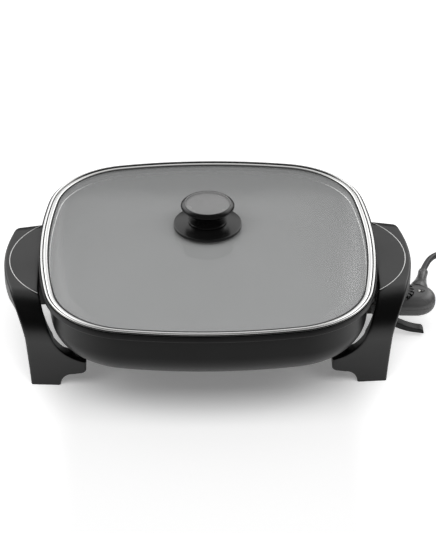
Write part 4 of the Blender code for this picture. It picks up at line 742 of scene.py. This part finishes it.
def control_line():
    """The control's plan and its inward pull: a half circle at the back end, then the sides and the flat front."""
    length, radius, front = CONTROL_LENGTH, 0.018, 0.016
    angle = np.linspace(-math.pi / 2, math.pi / 2, 49)
    end = np.stack([length - radius + radius * np.cos(angle), radius * np.sin(angle)], 1)
    share = np.linspace(0, 1, 13)[1:]
    half = radius + (front - radius) * smooth(share)
    side = np.stack([(length - radius) * (1 - share), half], 1)
    across = np.linspace(1, -1, 13)[1:-1]
    nose = np.stack([0 * across, front * across], 1)
    points = np.concatenate([end, side, nose, side[::-1] * [1, -1]])
    pull = np.concatenate([
        -np.stack([np.cos(angle), np.sin(angle)], 1), np.stack([0 * share, -1 + 0 * share], 1),
        np.stack([1 + 0 * across, 0 * across], 1), np.stack([0 * share, 1 + 0 * share], 1),
    ])
    pull[len(end) + len(side) - 1] = (1, -1)
    pull[len(end) + len(side) + len(nose)] = (1, 1)
    return points, pull


def control_rows(pairs):
    """One row round the control's plan for each (inset, height), kept from crossing itself at the flat front."""
    points, pull = control_line()
    inset, height = np.asarray(pairs, float).T
    flat = points[None] + inset[:, None, None] * pull[None]
    rows = np.empty((*flat.shape[:2], 3))
    rows[..., 0] = np.maximum(flat[..., 0], np.minimum(inset, 0.02)[:, None]) + CONTROL_X
    rows[..., 1] = flat[..., 1]
    rows[..., 2] = PIN_LEVEL + height[:, None]
    return rows


def shell_pairs(height, roof, up, spread=0.018):
    """(inset, height) from the crown, down the crowned outside, over the parting edge and up the hollow."""
    outer = flowing([(0.60, 1.0), (0.42, 0.965), (0.25, 0.86), (0.12, 0.68), (0.035, 0.45), (0.0, 0.20)], 5)
    outer = outer * [spread, 1]
    outer[:, 1] = up * (GAP / 2 + outer[:, 1] * (height - GAP / 2))
    edge = [(0.0, up * GAP / 2), (0.002, up * GAP / 2)]
    inner = np.array([(0.0, 0.25), (0.12, 0.75), (0.45, 1.0)]) * [0.018, 1]
    inner[:, 0] += 0.002
    inner[:, 1] = up * (GAP / 2 + inner[:, 1] * (height - roof))
    return np.concatenate([outer, edge, inner])


def along_relief(profile, steps=64):
    """A profile turned about the strain relief's axis."""
    axis = (math.sin(RELIEF_TURN), math.cos(RELIEF_TURN), 0)
    return turned_rows(profile, steps, (CONTROL_X + RELIEF_AT, 0, PIN_LEVEL), axis)


def make_control():
    """The two housings, cut open for nose, strain relief, dial, spindle, window, trigger and screws."""
    plastic = LOOKS["control_black"]
    top = skin("control_cover", [(control_rows(shell_pairs(0.0095, 0.0045, 1)), "caps")], plastic, "control",
               ("control_top",), 45)
    base = skin("control_base", [(control_rows(shell_pairs(0.0115, 0.002, -1, 0.025)), "caps")], plastic, "control",
                ("control_bottom",), 45)
    nose = block_rows(
        (CONTROL_X - 0.004, -0.0153, PIN_LEVEL - 0.0055), (CONTROL_X + 0.012, 0.0153, PIN_LEVEL + 0.0055), 0.0004
    )
    relief = [(0, 0.0251), (0.0051, 0.0251), (0.0051, 0.0146), (0.0066, 0.0146), (0.0066, 0.0078), (0, 0.0078)]
    dial = (CONTROL_X + DIAL_AT, 0, PIN_LEVEL)
    recess = [(0, 0.0068), (0.0161, 0.0068), (0.0161, 0.0080), (0.0164, 0.0086), (0.0171, 0.0092), (0.0186, 0.0100),
              (0.0186, 0.014), (0, 0.014)]
    hole = [(0, 0.0), (0.0033, 0.0), (0.0033, 0.010), (0, 0.010)]
    window = turned_rows([(0, 0), (0.0025, 0), (0.0025, 0.0136), (0, 0.0136)], 48)
    window = window * [WINDOW_STRETCH, 1, 1] + [CONTROL_X + WINDOW_AT, 0, PIN_LEVEL]
    carve(top, [(nose, "caps"), (along_relief(relief), "rows"), (turned_rows(recess, 96, dial), "rows"),
                (turned_rows(hole, 40, dial), "rows"), (window, "rows")], 45)
    slot = block_rows(
        (CONTROL_X - 0.004, -0.0056, PIN_LEVEL - 0.0155), (CONTROL_X + 0.0148, 0.0056, PIN_LEVEL - 0.0053), 0.0003
    )
    sinks = [(turned_rows([(0, -0.016), (0.0031, -0.016), (0.0031, -0.005), (0, -0.005)], 40,
                          (CONTROL_X + 0.038, y, PIN_LEVEL)), "rows") for y in (-0.0065, 0.0065)]
    carve(base, [(nose, "caps"), (along_relief(relief), "rows"), (slot, "caps")] + sinks, 45)
    lug_low, lug_high = (CONTROL_X + 0.0058, PIN_LEVEL - 0.0192), (CONTROL_X + 0.0142, PIN_LEVEL - 0.0098)
    lugs = [
        (block_rows((lug_low[0], y, lug_low[1]), (lug_high[0], y + 0.0024, lug_high[1]), 0.0006), "caps")
        for y in (-0.0108, 0.0084)
    ]
    skin("trigger_lugs", lugs, plastic, "control", (), 45)


def make_relief():
    """The strain relief: a saddle root that narrows along a curve to a collar."""
    root, tip, start, end = 0.0092, 0.0037, 0.0128, RELIEF_END
    line = flowing([(1.0, 0.0), (0.86, 0.20), (0.46, 0.42), (0.20, 0.66), (0.13, 0.84)], 12)
    radius = tip + (root - tip) * line[:, 0]
    along = start + (end - start) * line[:, 1]
    collar = [(tip + 0.00075, 0.0452), (tip + 0.0009, 0.0456), (tip + 0.0009, 0.0492), (tip + 0.0004, end),
              (0.0030, end)]
    profile = np.concatenate([[(0, 0.0118), (0.0063, 0.0118), (0.0063, 0.0124), (0.0063, start)],
                              np.column_stack([radius, along]), collar, [(0, end)]])
    skin("cord_sleeve", [(along_relief(profile, 80), "rows")], LOOKS["control_black"], "control",
         ("strain_relief",), 45)


def make_dial():
    """A disc whose edge dips in at each of eighteen finger grooves."""
    low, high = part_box("dial")
    place, tall, radius = (CONTROL_X + DIAL_AT, 0, low.z), high.z - low.z, (high.x - low.x) / 2
    steps = 360
    angle = np.linspace(0, 2 * math.pi, steps, endpoint=False)
    groove = smooth((np.cos(18 * angle) - 0.25) / 0.35)
    profile = np.array([(0, 1.0), (0.30, 1.0), (0.62, 0.99), (0.80, 0.97), (0.93, 0.95), (0.975, 0.90), (0.995, 0.80),
                        (1.0, 0.66), (1.0, 0.45), (1.0, 0.0), (0.0, 0.0)])
    depth = np.array([0, 0, 0, 0.4, 1, 1, 1, 1, 0.0, 0, 0])
    share = profile[:, :1] - 0.075 * np.clip(depth, 0, 1)[:, None] * groove[None] * (profile[:, :1] > 0.9)
    drop = np.array([0, 0, 0, 0.12, 0.30, 0.28, 0.2, 0.1, 0, 0, 0])
    height = profile[:, 1:] - drop[:, None] * groove[None]
    rows = np.stack([
        place[0] + radius * share * np.cos(angle), radius * share * np.sin(angle), place[2] + tall * height + 0 * share,
    ], -1)
    skin("control_dial", [(rows, "rows")], LOOKS["knob_black"], "dial", ("dial",), 30)


def make_trigger():
    """The trigger's side view carried across its width, drawn in along its normals at both faces."""
    reach, drop, finger, rise, hub = 0.041, 0.0194, 0.011, 0.0085, 0.0042
    arm = np.array([(0.22, 0.12), (0.40, 0.36), (0.64, 0.60), (0.82, 0.72), (0.94, 0.76), (0.985, 0.84), (1.0, 1.0),
                    (0.88, 0.965), (0.64, 0.87), (0.36, 0.64), (0.12, 0.32)]) * [reach, -drop]
    angle = np.linspace(-math.pi / 2, -math.pi * 5 / 6, 4)
    under = hub * np.stack([np.cos(angle), np.sin(angle)], 1)
    nib = np.array([(-0.45, 0.12), (-0.95, 0.62), (-1.0, 0.98), (-0.80, 1.0), (-0.30, 0.50)]) * [finger, rise]
    angle = np.linspace(math.pi / 2, math.pi / 6, 4)
    over = hub * np.stack([np.cos(angle), np.sin(angle)], 1)
    line = flowing(np.concatenate([arm, under, nib, over]), 4, True)
    along = np.roll(line, -1, 0) - np.roll(line, 1, 0)
    along /= np.linalg.norm(along, axis=1)[:, None]
    inward = np.stack([-along[:, 1], along[:, 0]], 1)
    if np.sum(line[:, 0] * np.roll(line[:, 1], -1) - line[:, 1] * np.roll(line[:, 0], -1)) < 0:
        inward = -inward
    turn = np.linspace(0, math.pi / 2, 5)
    edge, half = 0.0007, 0.005
    inset = edge * np.concatenate([1 - np.sin(turn), 1 - np.sin(turn[::-1])])
    across = np.concatenate([-half + edge * (1 - np.cos(turn)), half - edge * (1 - np.cos(turn[::-1]))])
    flat = line[None] + inset[:, None, None] * inward[None]
    pivot = (CONTROL_X + 0.010, PIN_LEVEL - 0.015)
    rows = np.stack([pivot[0] + flat[..., 0], across[:, None] + 0 * flat[..., 0], pivot[1] + flat[..., 1]], -1)
    skin("control_trigger", [(rows, "caps")], TRIGGER, "trigger", ("release_trigger",), 40)


def make_lens():
    """A low oval dome over the window, and a small pale dome on it as a painted highlight."""
    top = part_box("indicator_lens")[1].z
    profile = [(0, 0.0007), (0.0009, 0.00062), (0.0016, 0.00035), (0.0020, 0.0), (0.0022, -0.0006),
               (0.0022, -0.005), (0, -0.005)]
    rows = turned_rows(profile, 64) * [WINDOW_STRETCH, 1, 1] + [CONTROL_X + WINDOW_AT, 0, top - 0.0003]
    skin("lamp_window", [(rows, "rows")], LOOKS["indicator_lens"], "control", ("indicator_lens",), 50)
    profile = [(0, 0.0011), (0.0009, 0.0010), (0.0015, 0.0007), (0.0017, 0.0), (0, 0.0)]
    rows = turned_rows(profile, 32) * [0.8, 0.9, 1] + [CONTROL_X + 0.0457, 0, top - 0.0003]
    skin("lamp_painted_glint", [(rows, "rows")], PAINTED_GLINT, "control", (), 50)


# Stage

FLOOR_HALF, FLOOR_TONE = 8, 0.94
GLOW_ALL, PAINTED_CLEAR_GLOW = 0.17, 0.36
LAMP_PLACE = (0, -2.1, 4.5)
ROOM_LIGHT, BEHIND_LIGHT, STRIP_LIGHT = 0.33, 1.36, 1.8


def limits(tree, source, low, high, start, end):
    """The same as ranged, with a soft start and end."""
    return ranged(tree, source, low, high, start, end, "SMOOTHSTEP")


def make_stage():
    """A pale floor that keeps the shadow, a broad soft lamp above the front, and a room.

    To camera and glossy rays the floor also glows, and to the camera it glows more where it is clear of the skillet,
    painted light that thins the shadow there. The room lights evenly and is white to the camera. Gloss sees it white
    and a little over behind, with brighter strips at both sides, dark along the low horizon and dark in front, where
    the floor is painted dark to gloss too, as it is far behind."""
    mesh = bpy.data.meshes.new("floor")
    corners = [(x * FLOOR_HALF, y * FLOOR_HALF, 0) for x, y in ((-1, -1), (1, -1), (1, 1), (-1, 1))]
    mesh.from_pydata(corners, [], [(0, 1, 2, 3)])
    floor = placed("floor", mesh)
    white = bpy.data.materials.new("floor_white")
    white.use_nodes = True
    tree = white.node_tree
    tree.nodes.clear()
    path = node(tree, "ShaderNodeLightPath")
    place = node(tree, "ShaderNodeTexCoord")
    split = node(tree, "ShaderNodeSeparateXYZ")
    tree.links.new(place.outputs["Object"], split.inputs["Vector"])
    # To gloss the floor's colour and glow fall off in front of the skillet and far behind it: painted shade in its
    # reflections.
    reach = maths(tree, "MULTIPLY", limits(tree, split.outputs["Y"], -0.40, -0.08, 0.05, 0.95),
                  limits(tree, split.outputs["Y"], 0.22, 0.50, 1.0, 0.12))
    across = maths(tree, "ABSOLUTE", maths(tree, "SUBTRACT", split.outputs["X"], MIDDLE), 0.0)
    # To the camera the floor glows more to the sides of the skillet and behind it, which thins the shadow there:
    # painted light.
    clear = maths(tree, "MAXIMUM", limits(tree, across, 0.115, 0.185, 0, 1),
                  limits(tree, split.outputs["Y"], -0.03, 0.08, 0, 1))
    clear = maths(tree, "MULTIPLY", clear, path.outputs["Is Camera Ray"])
    glowing = maths(tree, "ADD", maths(tree, "MULTIPLY", clear, PAINTED_CLEAR_GLOW), GLOW_ALL)
    past = maths(tree, "SUBTRACT", 1.0, reach)
    seen = maths(tree, "SUBTRACT", 1.0, maths(tree, "MULTIPLY", path.outputs["Is Glossy Ray"], past))
    colour = grey(tree, maths(tree, "MULTIPLY", seen, FLOOR_TONE))
    matt = node(tree, "ShaderNodeBsdfDiffuse")
    tree.links.new(colour, matt.inputs["Color"])
    rays = maths(tree, "MAXIMUM", path.outputs["Is Camera Ray"], path.outputs["Is Glossy Ray"])
    glow = node(tree, "ShaderNodeEmission")
    tree.links.new(maths(tree, "MULTIPLY", maths(tree, "MULTIPLY", rays, seen), glowing), glow.inputs["Strength"])
    both = node(tree, "ShaderNodeAddShader")
    out = node(tree, "ShaderNodeOutputMaterial")
    tree.links.new(matt.outputs["BSDF"], both.inputs[0])
    tree.links.new(glow.outputs["Emission"], both.inputs[1])
    tree.links.new(both.outputs["Shader"], out.inputs["Surface"])
    mesh.materials.append(white)

    lamp = bpy.data.lights.new("soft_lamp", "AREA")
    lamp.shape = "RECTANGLE"
    lamp.size, lamp.size_y = 10.0, 3.6
    lamp.energy = 270.0
    above = placed("soft_lamp", lamp)
    above.location = LAMP_PLACE
    above.rotation_euler = Vector(LAMP_PLACE).to_track_quat("Z", "Y").to_euler()
    above.visible_glossy = False

    world = bpy.data.worlds.new("room")
    bpy.context.scene.world = world
    world.use_nodes = True
    tree = world.node_tree
    tree.nodes.clear()
    place = node(tree, "ShaderNodeTexCoord")
    split = node(tree, "ShaderNodeSeparateXYZ")
    tree.links.new(place.outputs["Generated"], split.inputs["Vector"])
    x, y, z = (split.outputs[k] for k in "XYZ")
    behind = maths(tree, "MULTIPLY", limits(tree, y, -0.02, 0.22, 0.04, BEHIND_LIGHT),
                   limits(tree, z, 0.26, 0.42, 0.07, 1))
    behind = maths(tree, "MULTIPLY", behind, limits(tree, z, 0.62, 0.86, 1, 0.42))
    aside = maths(tree, "ABSOLUTE", x, 0.0)
    strips = maths(tree, "MULTIPLY", limits(tree, aside, 0.26, 0.36, 0, 1), limits(tree, aside, 0.60, 0.80, 1, 0))
    strips = maths(tree, "MULTIPLY", strips, limits(tree, z, 0.04, 0.16, 0, 1))
    strips = maths(tree, "MULTIPLY", strips, limits(tree, y, 0.15, 0.40, 0, STRIP_LIGHT))
    room = maths(tree, "ADD", behind, strips)
    path = node(tree, "ShaderNodeLightPath")
    choice = node(tree, "ShaderNodeMix", data_type="FLOAT")
    choice.inputs[2].default_value = ROOM_LIGHT
    tree.links.new(path.outputs["Is Glossy Ray"], choice.inputs[0])
    tree.links.new(room, choice.inputs[3])
    lifted = maths(tree, "MAXIMUM", choice.outputs[0], path.outputs["Is Camera Ray"])
    shown = node(tree, "ShaderNodeBackground")
    tree.links.new(lifted, shown.inputs["Strength"])
    out = node(tree, "ShaderNodeOutputWorld")
    tree.links.new(shown.outputs["Background"], out.inputs["Surface"])


aim_camera()
dress_nodes()
make_cord()
make_pan()
make_element()
make_lid()
make_knob()
make_handle("handle_left", -1, "left_handle")
make_handle("handle_right", 1, "right_handle")
make_control()
make_relief()
make_dial()
make_trigger()
make_lens()
make_stage()

bpy.context.scene.view_settings.view_transform = "Standard"
